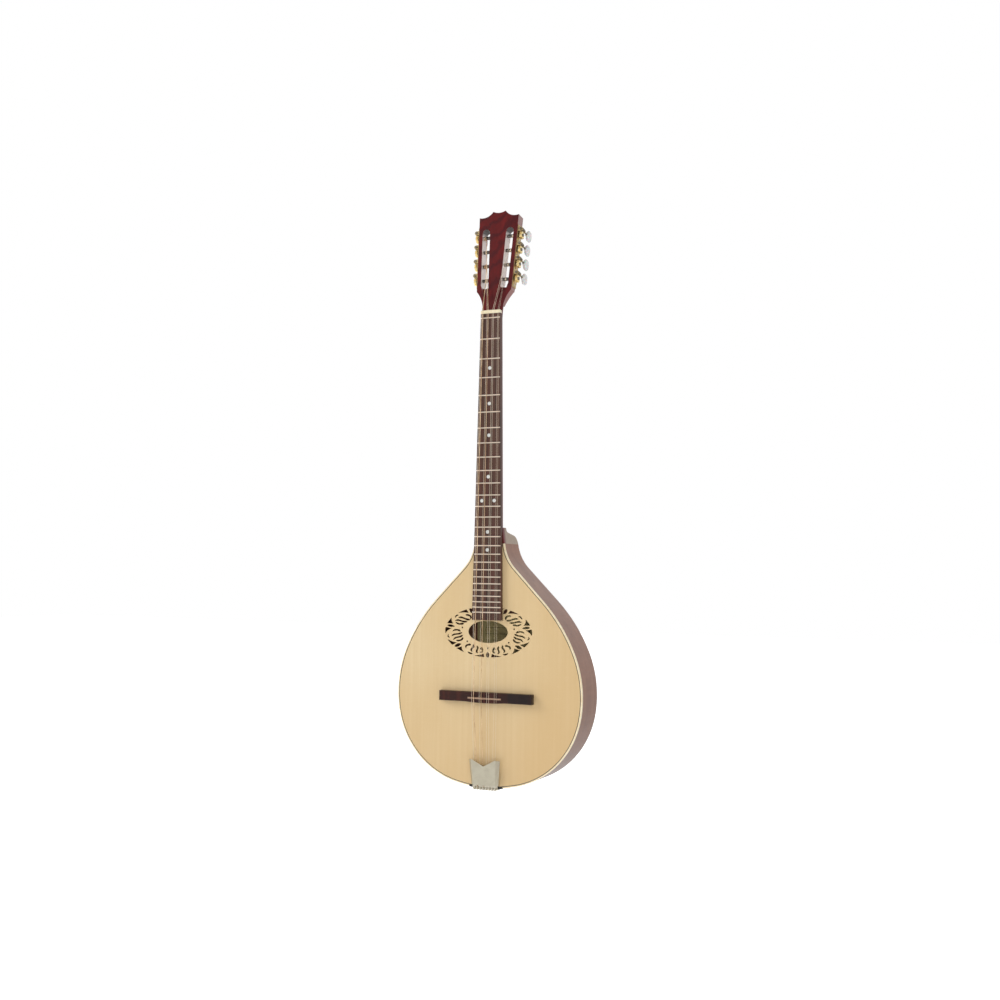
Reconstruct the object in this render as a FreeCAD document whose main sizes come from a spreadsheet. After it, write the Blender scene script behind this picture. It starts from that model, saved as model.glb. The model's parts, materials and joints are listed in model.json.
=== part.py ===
import FreeCAD, Part
import math
import os

# A flat-top bouzouki: four courses of two strings, teardrop body, slotted headstock.
# Frame: X across the instrument, Y from front to back, Z up the neck, in millimetres.
# The origin is the middle of the zero fret, in the plane of the soundboard's front face.

Vector = FreeCAD.Vector
Rotation = FreeCAD.Rotation
Placement = FreeCAD.Placement
X_AXIS = Vector(1, 0, 0)
Y_AXIS = Vector(0, 1, 0)
Z_AXIS = Vector(0, 0, 1)

DRIVING_SIZES = (
    ("scale_length", 650.0),
    ("fret_count", 26),
    # body outline, from the middle of the tail to the neck: radius and turn of each arc
    ("tail_drop", 800.8),
    ("tail_radius", 242.5),
    ("tail_turn", 13.9),
    ("side_radius", 147.1),
    ("side_turn", 67.6),
    ("upper_radius", 191.4),
    ("upper_turn", 31.4),
    ("shoulder_radius", 279.9),
    ("shoulder_turn", 20.8),
    ("shoulder_straight", 77.4),
    ("neck_curve_radius", 69.1),
    ("neck_curve_turn", 38.4),
    # body shell
    ("body_depth", 75.5),
    ("top_thickness", 3.0),
    ("back_thickness", 3.0),
    ("side_thickness", 2.0),
    ("binding_height", 5.0),
    ("back_arch_start", 600.0),
    ("back_arch_radius", 1800.0),
    ("purfling_width", 1.2),
    ("purfling_depth", 1.5),
    ("lining_width", 6.0),
    ("lining_height", 12.0),
    ("neck_block_end", 436.0),
    ("tail_block_start", 778.0),
    ("tail_block_half", 38.0),
    # soundhole and pierced rosette
    ("hole_centre", 538.4),
    ("hole_half_width", 36.7),
    ("hole_half_height", 18.8),
    ("rosette_inner_width", 43.5),
    ("rosette_inner_height", 24.5),
    ("rosette_outer_width", 81.0),
    ("rosette_outer_height", 43.0),
    ("rosette_groups", 7),
    # neck and heel
    ("neck_half_at_nut", 18.35),
    ("board_half_at_end", 26.97),
    ("board_end", 518.5),
    ("board_thickness", 7.5),
    ("neck_depth_at_nut", 14.5),
    ("neck_depth_at_heel", 16.0),
    ("heel_top", 369.0),
    ("heel_start", 361.0),
    ("heel_slope_end", 373.4),
    ("heel_shoulder", 48.0),
    # nut, frets and dots
    ("nut_start", 7.5),
    ("nut_thickness", 5.5),
    ("nut_half_width", 18.0),
    ("nut_top", 9.2),
    ("fret_width", 2.0),
    ("fret_height", 1.0),
    ("tang_width", 0.6),
    ("tang_depth", 1.8),
    ("dot_radius", 3.1),
    ("dot_depth", 1.2),
    ("double_dot_offset", 11.5),
    # headstock, measured along its tilted face
    ("head_tilt", 7.8),
    ("head_face_y", -1.5),
    ("head_thickness", 20.0),
    ("head_root", 22.0),
    ("head_splice", 21.0),
    ("head_flare_end", 50.5),
    ("head_half_low", 32.6),
    ("head_top", 187.7),
    ("head_half_top", 37.3),
    ("peak_half", 11.7),
    ("peak_height", 197.1),
    ("slot_low", 56.5),
    ("slot_high", 165.5),
    ("slot_half_width", 7.1),
    ("slot_inset", 14.1),
    ("ramp_start", 23.0),
    ("ramp_depth", 6.0),
    # machine heads
    ("first_roller", 72.3),
    ("roller_spacing", 26.4),
    ("roller_depth", 8.5),
    ("roller_radius", 3.0),
    ("roller_reach", 27.2),
    ("plate_thickness", 1.2),
    ("plate_width", 15.0),
    ("plate_below", 16.0),
    ("plate_above", 17.6),
    ("gear_teeth", 14),
    ("gear_module", 0.9),
    ("gear_thickness", 4.0),
    ("gear_offset", 4.5),
    ("gear_bore_radius", 2.0),
    ("worm_pitch_radius", 3.3),
    ("worm_length", 10.0),
    ("worm_phase", 180.0),
    ("shaft_radius", 1.5),
    ("ear_gap", 11.0),
    ("ear_thickness", 1.5),
    ("ear_radius", 3.6),
    ("running_clearance", 0.05),
    ("button_start", 22.5),
    ("button_length", 14.5),
    ("button_half_width", 10.2),
    ("button_half_thickness", 3.8),
    ("button_collar_radius", 2.9),
    # bridge, saddle and strings
    ("bridge_half_length", 85.3),
    ("bridge_top", 640.0),
    ("bridge_bottom", 656.6),
    ("bridge_bulge", 1.4),
    ("bridge_height", 11.5),
    ("saddle_half_length", 30.5),
    ("saddle_thickness", 3.0),
    ("saddle_height", 13.2),
    ("saddle_sink", 5.0),
    ("course_spacing_nut", 9.9),
    ("course_spacing_saddle", 13.9),
    ("pair_spacing_nut", 2.3),
    ("pair_spacing_saddle", 3.6),
    ("hook_spacing", 5.4),
    # tailpiece
    ("tail_saddle_half", 30.5),
    ("tail_saddle_proud", 1.0),
    ("base_half_width", 23.0),
    ("base_thickness", 1.2),
    ("base_front", 3.6),
    ("base_top", 770.0),
    ("base_drop", 42.0),
    ("cover_top_face", 14.0),
    ("cover_bottom_face", 8.6),
    ("cover_top", 752.0),
    ("cover_bottom", 795.4),
    ("cover_sheet", 1.0),
)

doc = FreeCAD.newDocument("bouzouki")
sheet = doc.addObject("Spreadsheet::Sheet", "Sizes")
for row, (alias, value) in enumerate(DRIVING_SIZES, start=1):
    sheet.set("A%d" % row, alias)
    sheet.set("B%d" % row, str(value))
    sheet.setAlias("B%d" % row, alias)
doc.recompute()


def size(alias):
    """A driving dimension, read from the sheet."""
    return float(sheet.get(alias))


# ---------------------------------------------------------------- document helpers


def bind(item, **expressions):
    """Bind properties of an object to expressions; Base_x stands for Placement.Base.x."""
    for name, expression in expressions.items():
        path = "Placement.Base." + name[-1] if name.startswith("Base_") else name
        item.setExpression(path, expression)
    return item


def box(label, length, width, height, left, front, low):
    """A Part box from its three sizes and its lowest corner, all given as expressions."""
    item = doc.addObject("Part::Box", label)
    item.Label = label
    return bind(item, Length=length, Width=width, Height=height, Base_x=left, Base_y=front, Base_z=low)


def cylinder(label, radius, height, placement):
    """A Part cylinder along the placement's Z axis, its radius and height given as expressions."""
    item = doc.addObject("Part::Cylinder", label)
    item.Label = label
    item.Placement = placement
    return bind(item, Radius=radius, Height=height)


def cut(label, base, tool):
    item = doc.addObject("Part::Cut", label)
    item.Label = label
    item.Base = base
    item.Tool = tool
    return item


def common(label, base, tool):
    item = doc.addObject("Part::Common", label)
    item.Label = label
    item.Base = base
    item.Tool = tool
    return item


def fuse(label, *shapes):
    item = doc.addObject("Part::MultiFuse", label)
    item.Label = label
    item.Shapes = list(shapes)
    item.Refine = True
    return item


def group(label, *members):
    """One object that holds several separate solids."""
    item = doc.addObject("Part::Compound", label)
    item.Label = label
    item.Links = list(members)
    return item


def placed(label, source, placement):
    """A copy of a part of the document at another place, which follows its source."""
    item = group(label, source)
    item.Placement = placement
    return item


def mirrored(label, source):
    """The left-hand copy of a right-hand part."""
    item = doc.addObject("Part::Mirroring", label)
    item.Label = label
    item.Source = source
    item.Normal = X_AXIS
    return item


def feature(label, shape):
    """A part whose shape no sketch or primitive gives."""
    item = doc.addObject("Part::Feature", label)
    item.Label = label
    item.Shape = shape
    return item


def new_sketch(body, name, role, offset=None):
    """A sketch on one of its own body's origin planes, moved along the plane's normal."""
    sketch = body.newObject("Sketcher::SketchObject", name)
    plane = [item for item in body.Origin.OriginFeatures if item.Role == role][0]
    sketch.AttachmentSupport = [(plane, "")]
    sketch.MapMode = "FlatFace"
    if offset:
        sketch.setExpression("AttachmentOffset.Base.z", offset)
    return sketch


def front_sketch(body, name, front):
    """A sketch seen from the front: its axes are X and Z, and it stands at the depth given."""
    return new_sketch(body, name, "XZ_Plane", "-(%s)" % front)


def padded(label, curves, front, depth):
    """A body made from an outline in X and Z, from one depth towards the back."""
    body = doc.addObject("PartDesign::Body", label)
    body.Label = label
    sketch = front_sketch(body, label + "_outline", front)
    sketch.addGeometry(curves, False)
    pad = body.newObject("PartDesign::Pad", label + "_pad")
    pad.Profile = sketch
    pad.Reversed = True
    pad.setExpression("Length", depth)
    return body


def pocket_through(body, name, curves, front):
    """A pocket right through a padded body, from an outline in X and Z."""
    sketch = front_sketch(body, name + "_outline", front)
    sketch.addGeometry(curves, False)
    pocket = body.newObject("PartDesign::Pocket", name)
    pocket.Profile = sketch
    pocket.Type = "ThroughAll"
    pocket.Midplane = True
    return pocket


def side_padded(label, curves, width):
    """A body made from an outline seen from the side, in Y and Z, centred across the instrument."""
    body = doc.addObject("PartDesign::Body", label)
    body.Label = label
    sketch = new_sketch(body, label + "_outline", "YZ_Plane")
    sketch.addGeometry(curves, False)
    pad = body.newObject("PartDesign::Pad", label + "_pad")
    pad.Profile = sketch
    pad.Length = width
    pad.Midplane = True
    return body


def line(start, end):
    return Part.LineSegment(start, end)


def polygon(points):
    """Straight sides through the points, closed."""
    return [line(points[i], points[(i + 1) % len(points)]) for i in range(len(points))]


def arc_through(start, middle, end):
    """An arc through three points of a sketch."""
    first = middle - start
    second = end - start
    cross = 2 * (first.x * second.y - first.y * second.x)
    first_square = first.x * first.x + first.y * first.y
    second_square = second.x * second.x + second.y * second.y
    centre_x = start.x + (second.y * first_square - first.y * second_square) / cross
    centre_y = start.y + (first.x * second_square - second.x * first_square) / cross
    low = math.atan2(start.y - centre_y, start.x - centre_x)
    high = math.atan2(end.y - centre_y, end.x - centre_x)
    if cross < 0:
        low, high = high, low
    if high < low:
        high += 2 * math.pi
    radius = math.hypot(start.x - centre_x, start.y - centre_y)
    return Part.ArcOfCircle(Part.Circle(Vector(centre_x, centre_y, 0), Z_AXIS, radius), low, high)


def flat(x, z):
    """A point of a sketch seen from the front."""
    return Vector(x, z, 0)


# ---------------------------------------------------------------- body outline

OUTLINE_STEPS = (
    ("tail_radius", "tail_turn", 1),
    ("side_radius", "side_turn", 1),
    ("upper_radius", "upper_turn", 1),
    ("shoulder_radius", "shoulder_turn", 1),
    ("shoulder_straight", None, 0),
    ("neck_curve_radius", "neck_curve_turn", -1),
)


def outline_half(inset, side):
    """Half of the body outline, moved inwards: its curves from tail to neck, and its last point."""
    curves = []
    x = 0.0
    z = inset - size("tail_drop")
    heading = 0.0
    for first_size, turn_size, bend in OUTLINE_STEPS:
        if bend == 0:
            length = size(first_size)
            start = flat(side * x, z)
            x += length * math.cos(heading)
            z += length * math.sin(heading)
            curves.append(line(start, flat(side * x, z)))
            continue
        radius = size(first_size) - bend * inset
        centre_x = x - bend * radius * math.sin(heading)
        centre_z = z + bend * radius * math.cos(heading)
        begin = heading - bend * math.pi / 2
        heading += bend * math.radians(size(turn_size))
        finish = heading - bend * math.pi / 2
        x = centre_x + bend * radius * math.sin(heading)
        z = centre_z - bend * radius * math.cos(heading)
        low, high = sorted((begin, finish))
        if side < 0:
            low, high = math.pi - high, math.pi - low
        circle = Part.Circle(flat(side * centre_x, centre_z), Z_AXIS, radius)
        curves.append(Part.ArcOfCircle(circle, low, high))
    return curves, flat(side * x, z)


def plate_outline(inset):
    """The closed outline of a plate of the body, moved inwards."""
    right, right_end = outline_half(inset, 1)
    left, left_end = outline_half(inset, -1)
    return right + left + [line(right_end, left_end)]


def strip_outline(outer_inset, inner_inset):
    """A strip that follows the outline on both sides and is open at the neck."""
    curves = []
    for side in (1, -1):
        outer, outer_end = outline_half(outer_inset, side)
        inner, inner_end = outline_half(inner_inset, side)
        curves += outer + inner + [line(outer_end, inner_end)]
    return curves


def half_strip_outline(outer_inset, inner_inset, side):
    """A strip that follows one side of the outline."""
    outer, outer_end = outline_half(outer_inset, side)
    inner, inner_end = outline_half(inner_inset, side)
    tail = line(flat(0, outer_inset - size("tail_drop")), flat(0, inner_inset - size("tail_drop")))
    return outer + inner + [line(outer_end, inner_end), tail]


def body_top():
    """The height at which the body's outline meets the neck."""
    return outline_half(0.0, 1)[1].y


def back_at(inset, z):
    """How far back a surface inside the arched back lies, at a height."""
    radius = size("back_arch_radius")
    rise = max(0.0, z + size("back_arch_start"))
    return size("body_depth") - radius + math.sqrt((radius - inset) ** 2 - rise * rise)


def back_layer(label, outer, inner=None):
    """The space between two depths inside the arched back, or from the front down to one depth."""
    low = -size("tail_drop") - 20.0
    bend = -size("back_arch_start")
    high = body_top() + 5.0

    def arched(inset):
        middle = (bend + high) / 2
        points = [Vector(back_at(inset, z), z, 0) for z in (bend, middle, high)]
        return arc_through(*points), points[0], points[2]

    outer_arc, outer_bend, outer_high = arched(outer)
    outer_low = Vector(outer_bend.x, low, 0)
    curves = [line(outer_low, outer_bend), outer_arc]
    if inner is None:
        front_low = Vector(-10, low, 0)
        front_high = Vector(-10, high, 0)
        curves += [line(outer_high, front_high), line(front_high, front_low), line(front_low, outer_low)]
    else:
        inner_arc, inner_bend, inner_high = arched(inner)
        inner_low = Vector(inner_bend.x, low, 0)
        curves += [line(outer_high, inner_high), inner_arc]
        curves += [line(inner_bend, inner_low), line(inner_low, outer_low)]
    return side_padded(label, curves, 400)


# ---------------------------------------------------------------- body shell


def make_tail_saddle():
    """The dark strip let into the binding, which the tailpiece bends over."""
    strip = padded(
        "tail_saddle_strip",
        strip_outline(-size("tail_saddle_proud"), size("side_thickness")),
        "-Sizes.tail_saddle_proud",
        "Sizes.binding_height + Sizes.tail_saddle_proud",
    )
    span = box(
        "tail_saddle_span",
        "2 * Sizes.tail_saddle_half",
        "40",
        "40",
        "-Sizes.tail_saddle_half",
        "-20",
        "-Sizes.tail_drop - 20",
    )
    return common("tail_saddle", strip, span)


def make_shell(tail_saddle, inside):
    """The back, the two sides, the binding and the purfling."""
    wall = size("side_thickness")
    edge = wall + size("purfling_width")
    back_fill = padded("back_fill", plate_outline(0.0), "Sizes.body_depth / 2", "Sizes.body_depth / 2 + 5")
    parts = [common("back_plate", back_fill, back_layer("back_sheet", 0.0, size("back_thickness")))]
    for name, side in (("side_right", 1), ("side_left", -1)):
        curves = half_strip_outline(0.0, wall, side)
        band = padded(name + "_band", curves, "Sizes.binding_height", "Sizes.body_depth")
        parts.append(common(name, band, inside))
    binding_ring = padded("binding_ring", strip_outline(0.0, wall), "0", "Sizes.binding_height")
    parts.append(cut("binding", binding_ring, tail_saddle))
    parts.append(padded("purfling", strip_outline(wall, edge), "0", "Sizes.purfling_depth"))
    return parts


def make_blocks_and_linings(inside):
    """The neck block, the tail block and the four linings that join the plates to the sides."""
    wall = size("side_thickness")
    half_span = 200
    neck_zone = box(
        "neck_block_zone", str(2 * half_span), "100", "100", str(-half_span), "-10", "-Sizes.neck_block_end"
    )
    tail_zone = box(
        "tail_block_zone",
        "2 * Sizes.tail_block_half",
        "100",
        "100",
        "-Sizes.tail_block_half",
        "-10",
        "-Sizes.tail_block_start - 100",
    )
    blocks = []
    for name, zone in (("neck_block", neck_zone), ("tail_block", tail_zone)):
        fill = padded(name + "_fill", plate_outline(wall), "Sizes.top_thickness", "Sizes.body_depth")
        blocks.append(common(name, common(name + "_length", fill, zone), inside))
    curves = strip_outline(wall, wall + size("lining_width"))
    front_strip = padded("lining_strip_front", curves, "Sizes.top_thickness", "Sizes.lining_height")
    back_fill = padded("lining_fill_back", curves, "Sizes.body_depth / 2", "Sizes.body_depth / 2 + 5")
    sheet_inside = size("back_thickness")
    back_band = back_layer("lining_band_back", sheet_inside, sheet_inside + size("lining_height"))
    back_strip = common("lining_strip_back", back_fill, back_band)
    zones = group("block_zones", neck_zone, tail_zone)
    linings = [cut("lining_" + strip.Label[13:], strip, zones) for strip in (front_strip, back_strip)]
    return blocks + [group("linings", *linings)]


TOP_BARS = (
    # half length, height of the middle, width, depth
    (44.0, 480.0, 10.0, 12.0),
    (104.0, 592.0, 9.0, 14.0),
    (120.0, 690.0, 8.0, 10.0),
)
BACK_BARS = (
    (56.0, 470.0, 12.0, 12.0),
    (118.0, 600.0, 10.0, 14.0),
    (112.0, 705.0, 10.0, 14.0),
)


def make_braces(inside):
    """Transverse bars under the top and on the back, with their ends clear of the linings."""
    top_bars = []
    for number, (half, middle, width, depth) in enumerate(TOP_BARS, start=1):
        low = "-%s" % (middle + width / 2)
        name = "top_bar_%d" % number
        front = "Sizes.top_thickness"
        top_bars.append(box(name, str(2 * half), str(depth), str(width), str(-half), front, low))
    back_bars = []
    for number, (half, middle, width, depth) in enumerate(BACK_BARS, start=1):
        front = "%s" % round(back_at(size("back_thickness"), -middle) - depth, 2)
        low = "-%s" % (middle + width / 2)
        name = "back_bar_%d" % number
        bar = box(name + "_blank", str(2 * half), str(depth + 10), str(width), str(-half), front, low)
        back_bars.append(common(name, bar, inside))
    return group("braces", *top_bars, *back_bars)


def make_label():
    """A blank paper label glued inside the back, under the soundhole."""
    sheet_inside = size("back_thickness")
    paper = back_layer("label_layer", sheet_inside, sheet_inside + 0.3)
    area = box("label_area", "104", "50", "66", "-52", "Sizes.body_depth - 45", "-578")
    return common("label", area, paper)


# ---------------------------------------------------------------- soundboard and rosette


def ring_point(angle, reach):
    """A point of the rosette ring: reach runs from 0 at its inner ellipse to 1 at its outer one."""
    width = size("rosette_inner_width") * (1 - reach) + size("rosette_outer_width") * reach
    height = size("rosette_inner_height") * (1 - reach) + size("rosette_outer_height") * reach
    turn = math.radians(angle)
    return Vector(width * math.cos(turn), 0, height * math.sin(turn) - size("hole_centre"))


def smooth_loop(points):
    """A face inside one smooth closed curve through the points."""
    curve = Part.BSplineCurve()
    curve.interpolate(points, PeriodicFlag=True)
    return Part.Face(Part.Wire([curve.toShape()]))


def stroke_face(stations):
    """A tapering brush stroke through stations of (point, half width), with round ends."""
    spine = Part.BSplineCurve()
    spine.interpolate([point for point, half in stations])
    first = spine.FirstParameter
    last = spine.LastParameter
    samples = 7
    left_side = []
    right_side = []
    for index in range(samples):
        share = index / (samples - 1.0)
        parameter = first + (last - first) * share
        place = share * (len(stations) - 1)
        low = min(int(place), len(stations) - 2)
        half = stations[low][1] + (stations[low + 1][1] - stations[low][1]) * (place - low)
        along = spine.tangent(parameter)[0]
        across = along.cross(Y_AXIS)
        centre = spine.value(parameter)
        if index == 0:
            left_side.append(centre - along * half * 0.9)
            continue
        if index == samples - 1:
            right_side.append(centre + along * half * 0.9)
            continue
        left_side.append(centre + across * half)
        right_side.append(centre - across * half)
    end = right_side.pop()
    return smooth_loop(left_side + [end] + right_side[::-1])


def horn_face(angle, side):
    """A curved triangle that hugs the outer ellipse beside a separator."""
    outer = [ring_point(angle + side * turn, 1.0) for turn in (4.4, 11.5, 19.0)]
    inner_places = ((19.0, 1.0), (11.5, 0.84), (6.4, 0.68))
    inner = [ring_point(angle + side * turn, reach) for turn, reach in inner_places]
    outer_curve = Part.BSplineCurve()
    outer_curve.interpolate(outer)
    inner_curve = Part.BSplineCurve()
    inner_curve.interpolate(inner)
    closing = Part.makeLine(inner[-1], outer[0])
    return Part.Face(Part.Wire([outer_curve.toShape(), inner_curve.toShape(), closing]))


def separator_faces(angle):
    """The bead, the drop and the two horns between two groups of strokes."""
    bead = Part.Face(Part.Wire([Part.makeCircle(1.5, ring_point(angle, 0.16), Y_AXIS)]))
    swell = 0.5 + 0.5 * abs(math.sin(math.radians(angle)))
    stations = ((0.58, 1.3), (0.75, 3.5), (0.90, 2.8))
    drop = stroke_face([(ring_point(angle, reach), half * swell) for reach, half in stations])
    return [bead, drop, horn_face(angle, 1), horn_face(angle, -1)]


def fineness(angle):
    """How much finer the ornament is drawn towards the narrow ends of the oval."""
    return 0.78 + 0.22 * abs(math.sin(math.radians(angle)))


# each stroke of a group: its angle from the group's middle, and the bow of its two ends in degrees
STROKES = ((-16.8, 4.2, 2.2), (-6.4, 3.5, -3.5), (3.2, 3.5, -3.5), (16.6, -2.8, -3.8))


def cluster_faces(middle):
    """Four curling strokes with round heads, the outer two like brackets, and a short dash."""
    faces = []
    for offset, low_bow, high_bow in STROKES:
        centre = middle + offset
        bracket = low_bow * high_bow > 0
        start_reach = 0.25 if bracket else 0.19
        end_reach = 0.60 if bracket else 0.70
        scale = fineness(centre)
        faces.append(
            stroke_face(
                (
                    (ring_point(centre + low_bow, start_reach), 2.3 * scale),
                    (ring_point(centre + low_bow * 0.2, start_reach + 0.12), 1.5 * scale),
                    (ring_point(centre + high_bow * 0.2, end_reach - 0.12), 1.6 * scale),
                    (ring_point(centre + high_bow, end_reach), 1.6 * scale),
                )
            )
        )
    scale = fineness(middle)
    dash = ((-3.4, 0.86, 1.0), (0.0, 0.90, 1.5), (3.4, 0.86, 1.0))
    dash_points = [(ring_point(middle + turn, reach), half * scale) for turn, reach, half in dash]
    faces.append(stroke_face(dash_points))
    return faces


def make_soundboard(purfling):
    """The top: an elliptical soundhole inside a ring of pierced ornament."""
    blank = padded("soundboard_blank", plate_outline(size("side_thickness")), "0", "Sizes.top_thickness")
    ellipse = Part.Ellipse(flat(0, -size("hole_centre")), size("hole_half_width"), size("hole_half_height"))
    pocket_through(blank, "soundhole", [ellipse], "0")
    groups = int(size("rosette_groups"))
    step = 360.0 / groups
    faces = separator_faces(270)
    for number in range(groups // 2):
        right = cluster_faces(270 + (number + 0.5) * step) + separator_faces(270 + (number + 1) * step)
        faces += right + [face.mirror(Vector(0, 0, 0), X_AXIS) for face in right]
    margin = 1.0
    reach = Vector(0, size("top_thickness") + 2 * margin, 0)
    cutters = []
    for face in faces:
        cutter = face.extrude(reach)
        cutter.translate(Vector(0, -margin, 0))
        cutters.append(cutter)
    ornament = feature("rosette_cutters", Part.makeCompound(cutters))
    pierced = cut("soundboard_pierced", blank, ornament)
    return cut("soundboard", pierced, purfling)


# ---------------------------------------------------------------- fingerboard, frets and nut


def fret_height(number):
    """How far below the zero fret a fret lies."""
    return size("scale_length") * (1 - 2 ** (-number / 12.0))


def board_half(drop):
    """Half the fingerboard's width at a distance below the zero fret."""
    slope = (size("board_half_at_end") - size("neck_half_at_nut")) / size("board_end")
    return size("neck_half_at_nut") + slope * drop


def make_frets():
    """One crowned wire with its tang for the zero fret and each of the others."""
    wires = []
    crown_half = size("fret_width") / 2
    rise = size("fret_height")
    surface = -size("board_thickness")
    tang_half = size("tang_width") / 2
    end_gap = 0.5
    for number in range(int(size("fret_count")) + 1):
        drop = fret_height(number)
        half = board_half(drop) - end_gap
        left = Vector(-half, surface, -drop)
        up = Vector(0, 0, crown_half)
        crown = Part.Arc(left - up, left - Vector(0, rise, 0), left + up).toShape()
        tang_up = Vector(0, 0, tang_half)
        tang_in = Vector(0, size("tang_depth"), 0)
        corners = [left + up, left + tang_up, left + tang_up + tang_in]
        corners += [left - tang_up + tang_in, left - tang_up, left - up]
        section = Part.Wire([crown] + Part.makePolygon(corners).Edges)
        wires.append(Part.Face(section).extrude(Vector(2 * half, 0, 0)))
    return feature("frets", Part.makeCompound(wires))


DOT_FRETS = (3, 5, 7, 10, 12, 15, 17)
DOUBLE_DOT_FRET = 12


def make_dots():
    """Round inlays between the frets, two of them at the octave."""
    dots = []
    for number in DOT_FRETS:
        middle = (fret_height(number) + fret_height(number - 1)) / 2
        offset = size("double_dot_offset")
        for x in (-offset, offset) if number == DOUBLE_DOT_FRET else (0.0,):
            seat = Placement(Vector(x, -size("board_thickness"), -middle), Rotation(Z_AXIS, Y_AXIS))
            name = "dot_%d_%d" % (number, x > 0)
            dots.append(cylinder(name, "Sizes.dot_radius", "Sizes.dot_depth", seat))
    return group("position_dots", *dots)


def make_fingerboard(frets, dots):
    """The fingerboard, slotted for the frets and bored for the dots."""
    start = size("nut_start")
    end = size("board_end")
    corners = [
        flat(-board_half(-start), start),
        flat(board_half(-start), start),
        flat(board_half(end), -end),
        flat(-board_half(end), -end),
    ]
    blank = padded("fingerboard_blank", polygon(corners), "-Sizes.board_thickness", "Sizes.board_thickness")
    slotted = cut("fingerboard_slotted", blank, frets)
    return cut("fingerboard", slotted, dots)


# ---------------------------------------------------------------- neck


def head_frame():
    """Where the headstock's own frame lies: its Z runs up the tilted face and its Y into the wood."""
    return Placement(Vector(0, size("head_face_y"), 0), Rotation(X_AXIS, -size("head_tilt")))


def head_side(along):
    """Half the headstock's width above its flare."""
    share = (along - size("head_flare_end")) / (size("head_top") - size("head_flare_end"))
    return size("head_half_low") + (size("head_half_top") - size("head_half_low")) * share


def side_angle():
    """How far the headstock's sides lean outwards, in degrees."""
    rise = size("head_top") - size("head_flare_end")
    return math.degrees(math.atan((size("head_half_top") - size("head_half_low")) / rise))


def section_sketch(body, name, half, front, back, height):
    """A D-shaped neck section: flat at the front, half an ellipse behind."""
    sketch = new_sketch(body, name, "XY_Plane", height)
    depth = back - front
    centre = Vector(0, front, 0)
    side_end = Vector(half, front, 0)
    back_end = Vector(0, back, 0)
    if half >= depth:
        curve = Part.ArcOfEllipse(Part.Ellipse(side_end, back_end, centre), 0, math.pi)
    else:
        other_end = Vector(-half, front, 0)
        curve = Part.ArcOfEllipse(Part.Ellipse(back_end, other_end, centre), -math.pi / 2, math.pi / 2)
    sketch.addGeometry([curve, line(Vector(-half, front, 0), Vector(half, front, 0))], False)
    return sketch


def lofted(label, sections):
    """A ruled loft through D-shaped sections."""
    body = doc.addObject("PartDesign::Body", label)
    body.Label = label
    sketches = []
    for number, (half, front, back, height) in enumerate(sections, start=1):
        sketches.append(section_sketch(body, "%s_section_%d" % (label, number), half, front, back, height))
    loft = body.newObject("PartDesign::AdditiveLoft", label + "_loft")
    loft.Profile = sketches[0]
    loft.Sections = sketches[1:]
    loft.Ruled = True
    return body


def make_heel():
    """The square heel: its side view and its front view crossed."""
    low = body_top()
    depth = back_at(0.0, low)
    top = -size("heel_top")
    start = -size("heel_start")
    shoulder = Vector(size("heel_shoulder"), -size("heel_slope_end"), 0)
    corner = Vector(depth - 4.6, low + 8.6, 0)
    back_low = Vector(depth, low, 0)
    neck_back = size("neck_depth_at_heel") - 0.6
    cove_start = Vector(neck_back, start, 0)
    cove_end = Vector(neck_back + 7.5, top, 0)
    cove_middle = Vector(neck_back + 2.4, top + 2.2, 0)
    profile = [
        line(Vector(0, low, 0), back_low),
        arc_through(back_low, corner, shoulder),
        line(shoulder, cove_end),
        arc_through(cove_end, cove_middle, cove_start),
        line(cove_start, Vector(0, start, 0)),
        line(Vector(0, start, 0), Vector(0, low, 0)),
    ]
    side_view = side_padded("heel_side_view", profile, 80)
    wide = outline_half(0.0, 1)[1].x
    narrow = board_half(size("heel_start"))
    front_view = padded(
        "heel_front_view",
        polygon([flat(-wide, low), flat(wide, low), flat(narrow, start), flat(-narrow, start)]),
        "0",
        "Sizes.body_depth",
    )
    return common("heel", side_view, front_view)


def head_outline():
    """The headstock's face: flared sides and three scallops along the top."""
    root = size("head_root")
    flare = size("head_flare_end")
    low = size("head_half_low")
    top = size("head_top")
    wide = size("head_half_top")
    peak = size("peak_half")
    peak_top = size("peak_height")
    root_half = 19.4
    curves = [line(flat(-root_half, root), flat(root_half, root))]
    for side in (1, -1):
        curves.append(
            arc_through(flat(side * root_half, root), flat(side * 22.0, 32.6), flat(side * low, flare))
        )
        curves.append(line(flat(side * low, flare), flat(side * wide, top)))
        curves.append(
            arc_through(flat(side * wide, top), flat(side * 22.5, top + 0.7), flat(side * peak, peak_top))
        )
    curves.append(arc_through(flat(-peak, peak_top), flat(0, peak_top - 3.0), flat(peak, peak_top)))
    return curves


def slot_line(along):
    """The middle of a string slot, which runs along the headstock's side."""
    return head_side(along) - size("slot_inset")


def slot_outline(side):
    """A round-ended slot, parallel to the headstock's side."""
    half = size("slot_half_width")
    low = Vector(side * slot_line(size("slot_low")), size("slot_low") + half, 0)
    high = Vector(side * slot_line(size("slot_high")), size("slot_high") - half, 0)
    along = (high - low).normalize()
    across = Vector(along.y, -along.x, 0) * half
    return [
        line(low + across, high + across),
        arc_through(high + across, high + along * half, high - across),
        line(high - across, low - across),
        arc_through(low - across, low - along * half, low + across),
    ]


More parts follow.
